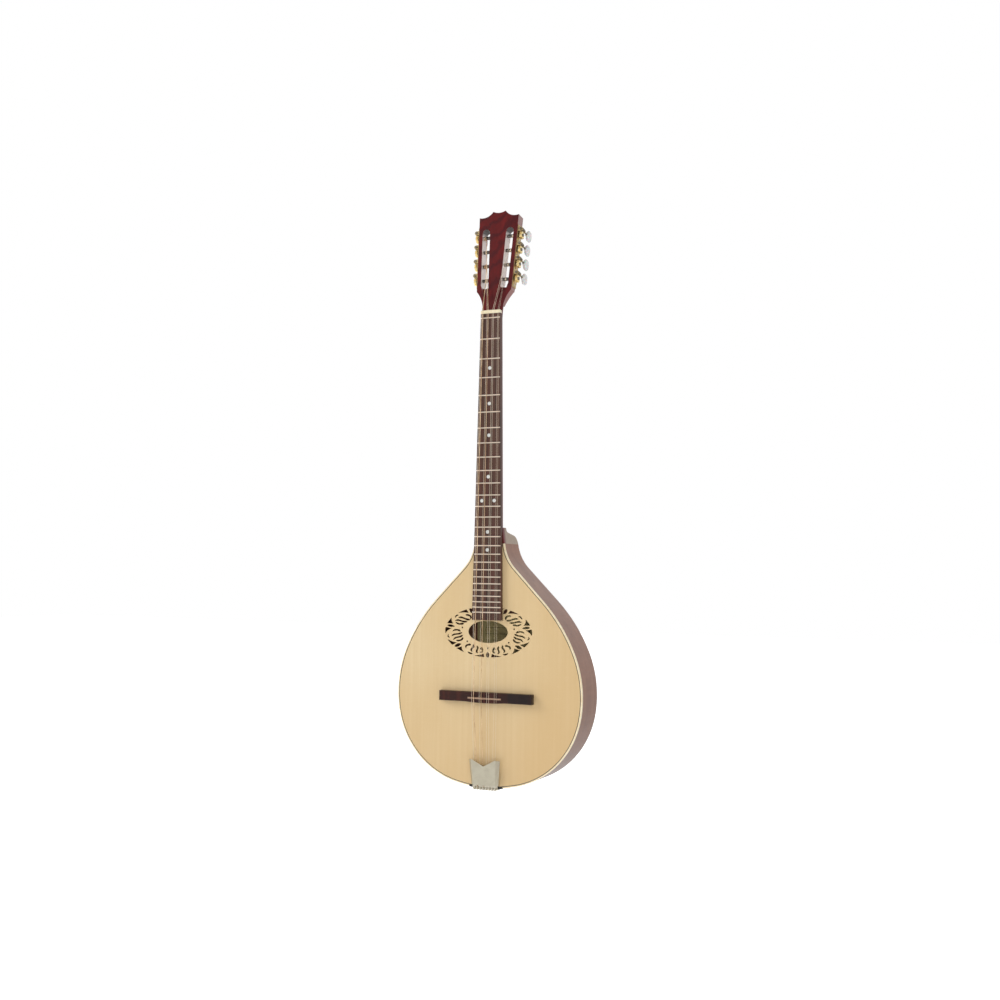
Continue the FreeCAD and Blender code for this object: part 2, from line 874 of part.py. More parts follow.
def ramp_cutter(side):
    """The sloping cut that leads the strings down into a slot."""
    half = size("slot_half_width") - 0.4
    start = size("ramp_start")
    end = size("slot_low") + size("slot_half_width")
    depth = size("ramp_depth")
    margin = 1.0
    middle = side * slot_line(end)
    start_middle = side * 9.9
    start_half = 5.0

    def rib(centre, reach, floor, along):
        corners = [(-reach, -margin), (reach, -margin), (reach, floor), (-reach, floor)]
        points = [Vector(centre + x, y, along) for x, y in corners]
        return Part.makePolygon(points + points[:1])

    ribs = [rib(start_middle, start_half, 0.05, start), rib(middle, half, depth, end)]
    return Part.makeLoft(ribs, True, True)


def machine_frame(number):
    """The frame of a right-hand machine: on the plate's outer face, at the roller's axis."""
    along = size("first_roller") + number * size("roller_spacing")
    lean = Rotation(Y_AXIS, side_angle())
    outwards = lean.multVec(X_AXIS)
    face = Vector(head_side(along), size("roller_depth"), along)
    seat = face + outwards * size("plate_thickness")
    return head_frame().multiply(Placement(seat, lean))


MACHINES = 4
TOWARDS_HEAD = Rotation(Z_AXIS, Vector(-1, 0, 0))


def screw_places():
    """Where the plate's screws stand, as distances along the plate from the first roller."""
    spacing = size("roller_spacing")
    above_machine = 16.2
    return [-11.5] + [number * spacing + above_machine for number in range(MACHINES - 1)] + [
        (MACHINES - 1) * spacing + 14.9
    ]


def head_back_cutter():
    """The wood taken off the back of the headstock, where it sweeps down into the neck."""
    root = Vector(6.0, 20, 0)
    waist = Vector(14.0, 44, 0)
    full = Vector(size("head_thickness"), 66, 0)
    behind = size("head_thickness") + 20
    curves = [
        arc_through(root, Vector(10.9, 31.5, 0), waist),
        arc_through(waist, Vector(16.1, 56, 0), full),
        line(full, Vector(behind, full.y, 0)),
        line(Vector(behind, full.y, 0), Vector(behind, root.y, 0)),
        line(Vector(behind, root.y, 0), root),
    ]
    return side_padded("head_back_cutter", curves, 100)


def make_head(screw_group):
    """The slotted headstock, bored for the rollers and the plate's screws."""
    blank = padded("head_blank", head_outline(), "0", "Sizes.head_thickness")
    for name, side in (("slot_right", 1), ("slot_left", -1)):
        pocket_through(blank, name, slot_outline(side), "0")
    swept = cut("head_swept", blank, head_back_cutter())
    swept.Placement = head_frame()
    ramps = feature("slot_ramps", Part.makeCompound([ramp_cutter(side) for side in (1, -1)]))
    ramps.Placement = head_frame()
    bores = []
    for number in range(MACHINES):
        seat = machine_frame(number).multiply(Placement(Vector(0, 0, 0), TOWARDS_HEAD))
        name = "roller_bore_%d" % (number + 1)
        radius = "Sizes.roller_radius + Sizes.running_clearance"
        bores.append(cylinder(name, radius, "Sizes.roller_reach + 0.6", seat))
    right_bores = group("roller_bores_right", *bores)
    left_bores = mirrored("roller_bores_left", right_bores)
    cutters = group("head_cutters", ramps, right_bores, left_bores, screw_group)
    return cut("headstock_wood", swept, cutters)


def make_neck(head):
    """The neck's D-shaped shaft with its heel, and the headstock spliced to it behind the nut."""
    heel_start = size("heel_start")
    low = body_top()
    shaft_sections = (
        (board_half(-low), 0.0, size("neck_depth_at_heel"), str(low)),
        (board_half(heel_start), 0.0, size("neck_depth_at_heel"), str(-heel_start)),
        (board_half(0.0), 0.0, size("neck_depth_at_nut"), "0"),
        (18.9, 0.4, 15.2, "13"),
        (19.6, 1.6, 15.9, "22"),
        (20.2, 3.0, 15.5, "32"),
    )
    shaft = lofted("neck_shaft", shaft_sections)
    whole = fuse("neck_whole", shaft, make_heel(), head)
    above_splice = doc.addObject("Part::Box", "above_splice")
    above_splice.Length = 120
    above_splice.Width = 80
    above_splice.Height = 220
    corner = Placement(Vector(-60, -20, size("head_splice")), Rotation())
    above_splice.Placement = head_frame().multiply(corner)
    return cut("neck", whole, above_splice), common("headstock", whole, above_splice)


# ---------------------------------------------------------------- machine heads


def tooth_pitch():
    return math.pi * size("gear_module")


def gear_pitch_radius():
    return size("gear_teeth") * size("gear_module") / 2


def centre_distance():
    return gear_pitch_radius() + size("worm_pitch_radius")


def lead_angle():
    return math.atan(tooth_pitch() / (2 * math.pi * size("worm_pitch_radius")))


def gear_shape():
    """The brass gear about X: slanted teeth that mesh with the worm's thread."""
    module = size("gear_module")
    tip = gear_pitch_radius() + 0.8 * module
    root = gear_pitch_radius() - 1.1 * module
    thickness = size("gear_thickness")
    half_root = 0.26 * tooth_pitch()
    half_tip = 0.13 * tooth_pitch()
    disc = Part.makeCylinder(root, thickness, Vector(0, 0, -thickness / 2))
    slab = Part.makeCylinder(tip, thickness, Vector(0, 0, -thickness / 2))
    sink = 0.4
    over = 0.2
    corners = [
        Vector(root - sink, -half_root, 0),
        Vector(tip + over, -half_tip, 0),
        Vector(tip + over, half_tip, 0),
        Vector(root - sink, half_root, 0),
    ]
    length = thickness * 1.4
    slant = Vector(0, math.tan(lead_angle()) * length, length)
    face = Part.Face(Part.makePolygon(corners + corners[:1]))
    face.translate(slant * -0.5)
    tooth = face.extrude(slant).common(slab)
    teeth = []
    for number in range(int(size("gear_teeth"))):
        copy = tooth.copy()
        copy.rotate(Vector(0, 0, 0), Z_AXIS, 360.0 * number / size("gear_teeth"))
        teeth.append(copy)
    solid = disc.multiFuse(teeth).removeSplitter()
    bore = Part.makeCylinder(size("gear_bore_radius"), thickness + 2, Vector(0, 0, -thickness / 2 - 1))
    solid = solid.cut(bore)
    solid.rotate(Vector(0, 0, 0), Y_AXIS, 90)
    solid.translate(Vector(size("gear_offset"), 0, 0))
    return solid


def worm_shape():
    """The worm about Y, with its shaft: a single thread between two shoulders."""
    module = size("gear_module")
    pitch = tooth_pitch()
    length = size("worm_length")
    tip = size("worm_pitch_radius") + 0.75 * module
    root = size("worm_pitch_radius") - 1.05 * module
    thread_length = length - pitch
    half_root = 0.30 * pitch + 0.05
    half_tip = 0.13 * pitch
    sink = 0.25
    corners = [
        Vector(root - sink, 0, -half_root),
        Vector(tip, 0, -half_tip),
        Vector(tip, 0, half_tip),
        Vector(root - sink, 0, half_root),
    ]
    sweep = Part.BRepOffsetAPI.MakePipeShell(Part.Wire(Part.makeHelix(pitch, thread_length, root).Edges))
    sweep.setFrenetMode(True)
    sweep.add(Part.makePolygon(corners + corners[:1]))
    sweep.build()
    sweep.makeSolid()
    thread = sweep.shape()
    thread.translate(Vector(0, 0, -thread_length / 2))
    end_play = 0.1
    core_length = size("ear_gap") - 2 * end_play
    core = Part.makeCylinder(root, core_length, Vector(0, 0, -core_length / 2))
    solid = core.fuse(thread)
    solid.rotate(Vector(0, 0, 0), Z_AXIS, size("worm_phase"))
    front = -size("ear_gap") / 2 - size("ear_thickness") - end_play
    back = size("button_start") + size("button_length") - 3.5
    shaft = Part.makeCylinder(size("shaft_radius"), back - front, Vector(0, 0, front))
    cap_length = 1.2
    cap = Part.makeCylinder(size("shaft_radius") + 0.8, cap_length, Vector(0, 0, front - cap_length))
    solid = solid.multiFuse([shaft, cap])
    solid.rotate(Vector(0, 0, 0), X_AXIS, -90)
    solid.translate(Vector(size("gear_offset"), 0, centre_distance()))
    return solid


def make_button_master():
    """An oval button, soft at its edges, on a round collar, bored for the shaft."""
    body = doc.addObject("PartDesign::Body", "button_oval")
    sketch = front_sketch(body, "button_outline", "Sizes.button_start")
    long_end = Vector(0, size("button_half_width"), 0)
    short_end = Vector(-size("button_half_thickness"), 0, 0)
    oval = Part.Ellipse(long_end, short_end, Vector(0, 0, 0))
    sketch.addGeometry([oval], False)
    pad = body.newObject("PartDesign::Pad", "button_pad")
    pad.Profile = sketch
    pad.Reversed = True
    pad.setExpression("Length", "Sizes.button_length")
    doc.recompute()
    soft = body.newObject("PartDesign::Fillet", "button_soft_edges")
    end_faces = [
        "Face%d" % (index + 1)
        for index, face in enumerate(pad.Shape.Faces)
        if face.Surface.TypeId == "Part::GeomPlane"
    ]
    soft.Base = (pad, end_faces)
    soft.Radius = 1.2
    along_shaft = Rotation(Z_AXIS, Y_AXIS)
    collar_length = 4.0
    collar_start = size("button_start") - collar_length + 1.0
    collar_foot = Placement(Vector(0, collar_start, 0), along_shaft)
    collar = cylinder("button_collar", "Sizes.button_collar_radius", str(collar_length), collar_foot)
    bore = cylinder(
        "button_bore",
        "Sizes.shaft_radius",
        "Sizes.button_length - 3.5 + 5",
        Placement(Vector(0, size("button_start") - 5, 0), along_shaft),
    )
    return cut("button_master", fuse("button_solid", body, collar), bore)


def make_post_master():
    """The roller that winds a string: journal, collar, gear seat and screwed end."""
    reach = size("roller_reach")
    gear_low = size("gear_offset") - size("gear_thickness") / 2
    gear_high = size("gear_offset") + size("gear_thickness") / 2
    outwards = Rotation(Z_AXIS, X_AXIS)
    inner_end = Placement(Vector(-reach, 0, 0), outwards)
    journal = cylinder("post_journal", "Sizes.roller_radius", str(reach + gear_low), inner_end)
    seat_place = Placement(Vector(gear_low, 0, 0), outwards)
    seat = cylinder("post_seat", "Sizes.gear_bore_radius", str(gear_high - gear_low + 0.4), seat_place)
    head = cylinder(
        "post_head", "Sizes.gear_bore_radius + 0.7", "1.3", Placement(Vector(gear_high, 0, 0), outwards)
    )
    hole_x = -size("plate_thickness") - size("slot_inset")
    string_hole = cylinder(
        "post_string_hole", "0.9", "10", Placement(Vector(hole_x, -5, 0), Rotation(Z_AXIS, Y_AXIS))
    )
    return cut("post_master", fuse("post_solid", journal, seat, head), string_hole)


def make_screws():
    """The round-headed screws that hold one machine plate, seen from the first machine's frame."""
    frame = machine_frame(0)
    screws = []
    for number, along in enumerate(screw_places(), start=1):
        inwards = frame.multiply(Placement(Vector(0, 0, along), TOWARDS_HEAD))
        outwards = frame.multiply(Placement(Vector(0, 0, along), Rotation(Z_AXIS, X_AXIS)))
        shank = cylinder("screw_shank_%d" % number, "1.2", "6", inwards)
        head = cylinder("screw_head_%d" % number, "2.3", "1.1", outwards)
        screws.append(fuse("screw_%d" % number, shank, head))
    right = group("screws_right", *screws)
    return right, mirrored("screws_left", right)


def make_plate(screws):
    """One machine plate with its eight ears, bored for the rollers, shafts and screws."""
    frame = machine_frame(0)
    spacing = size("roller_spacing")
    low = -size("plate_below")
    high = (MACHINES - 1) * spacing + size("plate_above")
    half = size("plate_width") / 2
    strip = doc.addObject("Part::Box", "plate_strip")
    bind(strip, Length="Sizes.plate_thickness", Width="Sizes.plate_width")
    strip.Height = high - low
    strip.Placement = frame.multiply(Placement(Vector(-size("plate_thickness"), -half, low), Rotation()))
    ears = []
    bores = []
    ear_radius = size("ear_radius")
    for number in range(MACHINES):
        machine = frame.multiply(Placement(Vector(0, 0, number * spacing), Rotation()))
        for name, front in (
            ("front", -size("ear_gap") / 2 - size("ear_thickness")),
            ("back", size("ear_gap") / 2),
        ):
            tag = "%s_%d" % (name, number + 1)
            web = doc.addObject("Part::Box", "ear_web_" + tag)
            bind(web, Width="Sizes.ear_thickness", Height="2 * Sizes.ear_radius")
            web.Length = size("gear_offset")
            web_foot = Vector(0, front, centre_distance() - ear_radius)
            web.Placement = machine.multiply(Placement(web_foot, Rotation()))
            centre = machine.multiply(
                Placement(Vector(size("gear_offset"), front, centre_distance()), Rotation(Z_AXIS, Y_AXIS))
            )
            ears.append(web)
            ears.append(cylinder("ear_round_" + tag, "Sizes.ear_radius", "Sizes.ear_thickness", centre))
            shaft_bore = "Sizes.shaft_radius + Sizes.running_clearance"
            bores.append(cylinder("ear_bore_" + tag, shaft_bore, "Sizes.ear_thickness", centre))
        seat = machine.multiply(Placement(Vector(0, 0, 0), TOWARDS_HEAD))
        hole = "Sizes.roller_radius + Sizes.running_clearance"
        bores.append(cylinder("plate_bore_%d" % (number + 1), hole, "Sizes.plate_thickness", seat))
    solid = fuse("plate_solid", strip, *ears)
    return cut("tuner_plate_right", solid, group("plate_cutters", screws, *bores))


def make_machines():
    """The eight machines: worm, button, gear and post of each."""
    masters = {
        "worm": feature("worm_master", worm_shape()),
        "gear": feature("gear_master", gear_shape()),
        "post": make_post_master(),
    }
    button = make_button_master()
    parts = []
    for number in range(MACHINES):
        frame = machine_frame(number)
        for name, master in masters.items():
            label = "tuner_right_%d_%s" % (number + 1, name)
            parts.append(placed(label, master, frame))
        seat = frame.multiply(Placement(Vector(size("gear_offset"), 0, centre_distance()), Rotation()))
        parts.append(placed("tuner_right_%d_button" % (number + 1), button, seat))
    for right in list(parts):
        parts.append(mirrored(right.Label.replace("right", "left"), right))
    return parts


# ---------------------------------------------------------------- bridge, saddle, tailpiece


def make_bridge_and_saddle():
    """The long low bridge, wider in the middle, and the saddle let into it."""
    half = size("bridge_half_length")
    top = -size("bridge_top")
    bottom = -size("bridge_bottom")
    middle_half = 36.0
    lowest = flat(0, bottom - size("bridge_bulge"))
    curves = [
        line(flat(-half, top), flat(half, top)),
        line(flat(half, top), flat(half, bottom)),
        line(flat(half, bottom), flat(middle_half, bottom)),
        arc_through(flat(middle_half, bottom), lowest, flat(-middle_half, bottom)),
        line(flat(-middle_half, bottom), flat(-half, bottom)),
        line(flat(-half, bottom), flat(-half, top)),
    ]
    blank = padded("bridge_blank", curves, "-Sizes.bridge_height", "Sizes.bridge_height")
    doc.recompute()
    pad = blank.Tip
    front_faces = [
        "Face%d" % (index + 1)
        for index, face in enumerate(pad.Shape.Faces)
        if abs(face.BoundBox.YMax + size("bridge_height")) < 1e-6
    ]
    soft = blank.newObject("PartDesign::Fillet", "bridge_soft_edges")
    soft.Base = (pad, front_faces)
    soft.Radius = 1.5
    saddle = box(
        "saddle_blank",
        "2 * Sizes.saddle_half_length",
        "Sizes.saddle_height - Sizes.bridge_height + Sizes.saddle_sink",
        "Sizes.saddle_thickness",
        "-Sizes.saddle_half_length",
        "-Sizes.saddle_height",
        "-Sizes.scale_length - Sizes.saddle_thickness / 2",
    )
    doc.recompute()
    crest = [
        (index + 1, 1.2, 1.2)
        for index, edge in enumerate(saddle.Shape.Edges)
        if edge.BoundBox.YMax < -size("saddle_height") + 1e-6 and edge.BoundBox.XLength > 1
    ]
    rounded = doc.addObject("Part::Fillet", "saddle")
    rounded.Label = "saddle"
    rounded.Base = saddle
    rounded.Edges = crest
    return [cut("bridge", blank, saddle), rounded]


def make_tailpiece_base():
    """The sheet that bends over the tail: a top tongue with eight hooks, and a strap down the end."""
    sheet_thickness = size("base_thickness")
    outer = -size("tail_saddle_proud") - 0.6 - sheet_thickness
    inner = outer + sheet_thickness
    strap = padded(
        "base_strap_ring",
        strip_outline(outer, inner),
        "-Sizes.base_front",
        "Sizes.base_front + Sizes.base_drop",
    )
    width = "2 * Sizes.base_half_width"
    left = "-Sizes.base_half_width"
    span = box("base_strap_span", width, "200", "40", left, "-100", "-Sizes.tail_drop - 20")
    tongue_ring = padded(
        "base_tongue_plate",
        plate_outline(inner),
        "-Sizes.base_front",
        "Sizes.base_thickness",
    )
    tongue_span = box(
        "base_tongue_span",
        "2 * Sizes.base_half_width",
        "200",
        "80",
        "-Sizes.base_half_width",
        "-100",
        "-Sizes.base_top - 80",
    )
    strap_part = common("base_strap", strap, span)
    tongue_part = common("base_tongue", tongue_ring, tongue_span)
    hooks = feature("base_hooks", Part.makeCompound([hook_shape(x) for x in hook_places()]))
    return fuse("tailpiece_base", strap_part, tongue_part, hooks)


def hook_places():
    """The eight hooks, evenly spaced across the tail."""
    return [(number - 3.5) * size("hook_spacing") for number in range(8)]


HOOK_RADIUS = 2.1
HOOK_WIDTH = 2.4
HOOK_HEIGHT = 800.9


def hook_shape(x):
    """A hook that rises from the tongue and turns back towards the tail."""
    wire_half = 0.6
    centre = Vector(x, -size("base_front") - HOOK_RADIUS + wire_half, -HOOK_HEIGHT)
    outer = HOOK_RADIUS + wire_half
    inner = HOOK_RADIUS - wire_half
    away = Vector(0, -1, 0)
    down = Vector(0, 0, -1)
    tip = Vector(0, 0, 1.6)
    curves = [
        Part.Arc(centre - away * outer, centre + down * outer, centre + away * outer).toShape(),
        Part.makeLine(centre + away * outer, centre + away * outer + tip),
        Part.makeLine(centre + away * outer + tip, centre + away * inner + tip),
        Part.makeLine(centre + away * inner + tip, centre + away * inner),
        Part.Arc(centre + away * inner, centre + down * inner, centre - away * inner).toShape(),
        Part.makeLine(centre - away * inner, centre - away * outer),
    ]
    solid = Part.Face(Part.Wire(curves)).extrude(Vector(HOOK_WIDTH, 0, 0))
    solid.translate(Vector(-HOOK_WIDTH / 2, 0, 0))
    root_length = 2.0
    root = Part.makeBox(
        HOOK_WIDTH,
        2 * wire_half,
        root_length,
        centre - away * inner + Vector(-HOOK_WIDTH / 2, 0, 0),
    )
    return solid.fuse(root).removeSplitter()


def cover_section(z, face, flat_half, wide_half, flange):
    """The outer line of the cover's bent sheet at one height: a flat front and two slanted flanges."""
    sheet_size = size("cover_sheet")
    outer = [
        Vector(-wide_half, -face + flange, z),
        Vector(-flat_half, -face, z),
        Vector(flat_half, -face, z),
        Vector(wide_half, -face + flange, z),
    ]
    inner = [
        Vector(wide_half - 1.3 * sheet_size, -face + flange, z),
        Vector(flat_half - 0.5 * sheet_size, -face + sheet_size, z),
        Vector(-flat_half + 0.5 * sheet_size, -face + sheet_size, z),
        Vector(-wide_half + 1.3 * sheet_size, -face + flange, z),
    ]
    points = outer + inner
    return Part.makePolygon(points + points[:1])


def make_cover():
    """The bent cover: a slanting front with a winged top edge and a notch in its middle."""
    top = -size("cover_top")
    bottom = -size("cover_bottom")
    sections = [
        cover_section(bottom, size("cover_bottom_face"), 20.3, 24.5, 5.0),
        cover_section(top + 2.0, size("cover_top_face"), 23.2, 28.6, 6.0),
    ]
    channel = feature("cover_channel", Part.makeLoft(sections, True, True))
    wing = 21.0
    notch_depth = 11.2
    low_x = 9.5
    low_depth = 6.2
    edge = size("cover_top_face") + 10
    curves = [
        line(flat(-40, top - 3.5), flat(-wing, top)),
        arc_through(flat(-wing, top), flat(-13.5, top - 4.2), flat(-low_x, top - low_depth)),
        line(flat(-low_x, top - low_depth), flat(0, top - notch_depth)),
        line(flat(0, top - notch_depth), flat(low_x, top - low_depth)),
        arc_through(flat(low_x, top - low_depth), flat(13.5, top - 4.2), flat(wing, top)),
        line(flat(wing, top), flat(40, top - 3.5)),
        line(flat(40, top - 3.5), flat(40, top + 20)),
        line(flat(40, top + 20), flat(-40, top + 20)),
        line(flat(-40, top + 20), flat(-40, top - 3.5)),
    ]
    crown = padded("cover_crown", curves, str(-edge), str(2 * edge))
    return cut("tailpiece_cover", channel, crown)


TAIL_SCREWS = ((-12.0, 14.0), (12.0, 14.0), (0.0, 30.0))


def make_tail_screws():
    """Three screws through the strap into the tail block."""
    screws = []
    sheet_outside = -size("tail_drop") - size("tail_saddle_proud") - 0.6 - size("base_thickness")
    for number, (x, y) in enumerate(TAIL_SCREWS, start=1):
        sag = x * x / (2 * size("tail_radius"))
        foot = Vector(x, y, sheet_outside + sag - 0.1)
        shank = cylinder("tail_shank_%d" % number, "1.6", "20", Placement(foot, Rotation()))
        head = cylinder("tail_head_%d" % number, "3.4", "1.6", Placement(foot, Rotation(X_AXIS, 180)))
        screws.append(fuse("tail_screw_%d" % number, shank, head))
    return group("tailpiece_screws", *screws)


# ---------------------------------------------------------------- strings

# radius of each string, from the lowest course to the highest, octave string first
STRING_RADII = (0.29, 0.58, 0.23, 0.44, 0.23, 0.23, 0.16, 0.16)
WOUND_STRINGS = (1, 3)
STRING_CLEARANCE = 0.04


def string_x(number, course_spacing, pair_spacing):
    """Where a string crosses the nut or the saddle."""
    course = number // 2
    return (course - 1.5) * course_spacing + (number % 2 - 0.5) * pair_spacing


def roller_of(number):
    """The machine that winds a string: outer strings go to the rollers nearest the nut."""
    return number if number < MACHINES else 2 * MACHINES - 1 - number


def string_route(number):
    """The points a string passes: its hook, the saddle, the zero fret, the nut and its roller."""
    radius = STRING_RADII[number]
    rise = radius + STRING_CLEARANCE
    hook_x = hook_places()[number]
    saddle_x = string_x(number, size("course_spacing_saddle"), size("pair_spacing_saddle"))
    nut_x = string_x(number, size("course_spacing_nut"), size("pair_spacing_nut"))
    fret_top = size("board_thickness") + size("fret_height")
    side = -1 if number < MACHINES else 1
    machine = roller_of(number)
    frame = machine_frame(machine)
    across = -size("plate_thickness") - size("slot_inset") + (1.5 - machine) * -1.6
    wrap = size("roller_radius") + radius + STRING_CLEARANCE
    touch = frame.multVec(Vector(across, -wrap, 0))
    nut_middle = size("nut_start") + size("nut_thickness") / 2
    return [
        Vector(hook_x, -size("base_front") - HOOK_RADIUS + 0.6, -HOOK_HEIGHT + 0.9),
        Vector(saddle_x, -size("saddle_height") - rise, -size("scale_length")),
        Vector(nut_x, -fret_top - rise, 0),
        Vector(nut_x, -fret_top - rise + 0.12, nut_middle),
        Vector(side * touch.x, touch.y, touch.z),
    ]


def run_round(points, radius):
    """A round rod along straight runs, with a ball at each bend."""
    pieces = []
    for start, end in zip(points, points[1:]):
        pieces.append(Part.makeCylinder(radius, (end - start).Length, start, end - start))
    for point in points[1:-1]:
        pieces.append(Part.makeSphere(radius, point))
    rod = pieces[0]
    for piece in pieces[1:]:
        rod = rod.fuse(piece)
    return rod


def string_shape(number):
    """A taut string along its route."""
    return run_round(string_route(number), STRING_RADII[number])


def make_strings():
    """The eight strings, wound and plain."""
    wound = [string_shape(number) for number in WOUND_STRINGS]
    plain = [string_shape(number) for number in range(8) if number not in WOUND_STRINGS]
    return [
        feature("strings_wound", Part.makeCompound(wound)),
        feature("strings_plain", Part.makeCompound(plain)),
    ]


def make_nut():
    """The nut behind the zero fret, with a slot for each string."""
    blank = box(
        "nut_blank",
        "2 * Sizes.nut_half_width",
        "Sizes.nut_top",
        "Sizes.nut_thickness",
        "-Sizes.nut_half_width",
        "-Sizes.nut_top",
        "Sizes.nut_start",
    )
    slots = feature("nut_slots", Part.makeCompound([nut_slot(number) for number in range(8)]))
    return cut("nut", blank, slots)


def nut_slot(number):
    """An open-topped channel along a string's path over the nut."""
    radius = STRING_RADII[number] + STRING_CLEARANCE
    start, bend, roller = string_route(number)[2:5]
    beyond = bend + (roller - bend) * 0.1
    shapes = [run_round([start, bend, beyond], radius)]
    lift = Vector(0, -4, 0)
    for low, high in ((start, bend), (bend, beyond)):
        side = Vector(radius, 0, 0)
        face = Part.Face(Part.makePolygon([low - side, low + side, high + side, high - side, low - side]))
        shapes.append(face.extrude(lift))
    channel = shapes[0]
    for shape in shapes[1:]:
        channel = channel.fuse(shape)
    return channel


# ---------------------------------------------------------------- assembly


def build():
    """Make every part of the instrument and return those that are its sub-parts."""
    tail_saddle = make_tail_saddle()
    inside = back_layer("inside_space", size("back_thickness"))
    shell = make_shell(tail_saddle, inside)
    purfling = shell[-1]
    frets = make_frets()
    dots = make_dots()
    screws_right, screws_left = make_screws()
    all_screws = group("tuner_screws", screws_right, screws_left)
    neck, headstock = make_neck(make_head(all_screws))
    plate = make_plate(screws_right)
    tail_screws = make_tail_screws()
    parts = [tail_saddle] + [drilled(item, tail_screws) for item in shell]
    parts += [drilled(item, tail_screws) for item in make_blocks_and_linings(inside)]
    parts.append(make_braces(inside))
    parts += [make_label(), make_soundboard(purfling)]
    parts += [frets, dots, make_fingerboard(frets, dots), make_nut()]
    parts += [neck, headstock, plate, mirrored("tuner_plate_left", plate), all_screws]
    parts += make_machines()
    parts += make_bridge_and_saddle()
    parts += [drilled(make_tailpiece_base(), tail_screws), tail_screws, make_cover()]
    parts += make_strings()
    return parts


DRILLED = ("side_right", "side_left", "tail_block", "tailpiece_base")


def drilled(base, screws):
    """Drill a part for the tailpiece's screws, if they reach it, and give the drilled one its name."""
    label = base.Label
    if label not in DRILLED:
        return base
    base.Label = label + "_undrilled"
    return cut(label, base, screws)


sub_parts = build()
doc.recompute()

for item in doc.Objects:
    if "Invalid" in item.State or "Error" in item.State:
        raise RuntimeError("%s failed: %s" % (item.Label, item.State))
for part in sub_parts:
    if part.Shape.isNull() or not part.Shape.isValid() or not part.Shape.Solids:
        raise RuntimeError("%s has no valid solid" % part.Label)

os.makedirs("parts", exist_ok=True)
for part in sub_parts:
    part.Shape.exportStep("parts/%s.step" % part.Label)
print("wrote %d parts" % len(sub_parts))
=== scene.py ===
import json
import math

import bmesh
import bpy
from mathutils import Matrix, Vector


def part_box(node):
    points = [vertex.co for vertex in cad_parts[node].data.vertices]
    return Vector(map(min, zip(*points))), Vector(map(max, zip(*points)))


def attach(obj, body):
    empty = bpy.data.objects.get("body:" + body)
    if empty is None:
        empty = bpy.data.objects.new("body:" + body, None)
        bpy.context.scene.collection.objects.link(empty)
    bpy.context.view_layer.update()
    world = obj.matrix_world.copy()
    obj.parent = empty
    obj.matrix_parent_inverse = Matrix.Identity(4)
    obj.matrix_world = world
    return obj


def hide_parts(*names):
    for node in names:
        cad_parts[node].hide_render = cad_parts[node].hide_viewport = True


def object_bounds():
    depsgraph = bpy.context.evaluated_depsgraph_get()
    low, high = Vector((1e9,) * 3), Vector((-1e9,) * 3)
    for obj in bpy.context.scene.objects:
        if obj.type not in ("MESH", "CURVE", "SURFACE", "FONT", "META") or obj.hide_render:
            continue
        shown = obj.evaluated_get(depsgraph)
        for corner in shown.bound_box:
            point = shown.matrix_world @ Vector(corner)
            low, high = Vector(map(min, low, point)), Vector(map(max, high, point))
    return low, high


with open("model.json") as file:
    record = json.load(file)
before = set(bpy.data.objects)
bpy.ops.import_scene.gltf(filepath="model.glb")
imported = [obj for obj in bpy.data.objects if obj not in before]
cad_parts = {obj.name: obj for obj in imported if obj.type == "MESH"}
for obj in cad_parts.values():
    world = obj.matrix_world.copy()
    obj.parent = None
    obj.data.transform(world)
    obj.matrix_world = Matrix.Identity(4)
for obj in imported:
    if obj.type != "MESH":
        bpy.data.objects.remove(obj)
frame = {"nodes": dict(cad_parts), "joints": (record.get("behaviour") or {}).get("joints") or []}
cad_low, cad_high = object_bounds()
NODES = frame["nodes"]
JOINTS = {joint["name"]: joint for joint in frame["joints"]}
MM = 0.001
scene = bpy.context.scene
collection = scene.collection

# ---------------------------------------------------------------- camera

CAMERA_PLACE = (0.86665, -1.938625, -0.441196)
CAMERA_TURN = (1.630837, -0.013071, 0.411374)
camera_data = bpy.data.cameras.new("camera")
camera_data.lens = 44.765
camera_data.sensor_width = 36.0
camera = bpy.data.objects.new("camera", camera_data)
camera.location = CAMERA_PLACE
camera.rotation_euler = CAMERA_TURN
collection.objects.link(camera)
scene.camera = camera

# ---------------------------------------------------------------- colours and node graphs


def srgb(red, green, blue):
    """A screen colour as the linear colour that a shader takes."""
    channels = []
    for value in (red, green, blue):
        share = value / 255.0
        channels.append(share / 12.92 if share <= 0.04045 else ((share + 0.055) / 1.055) ** 2.4)
    return (*channels, 1.0)


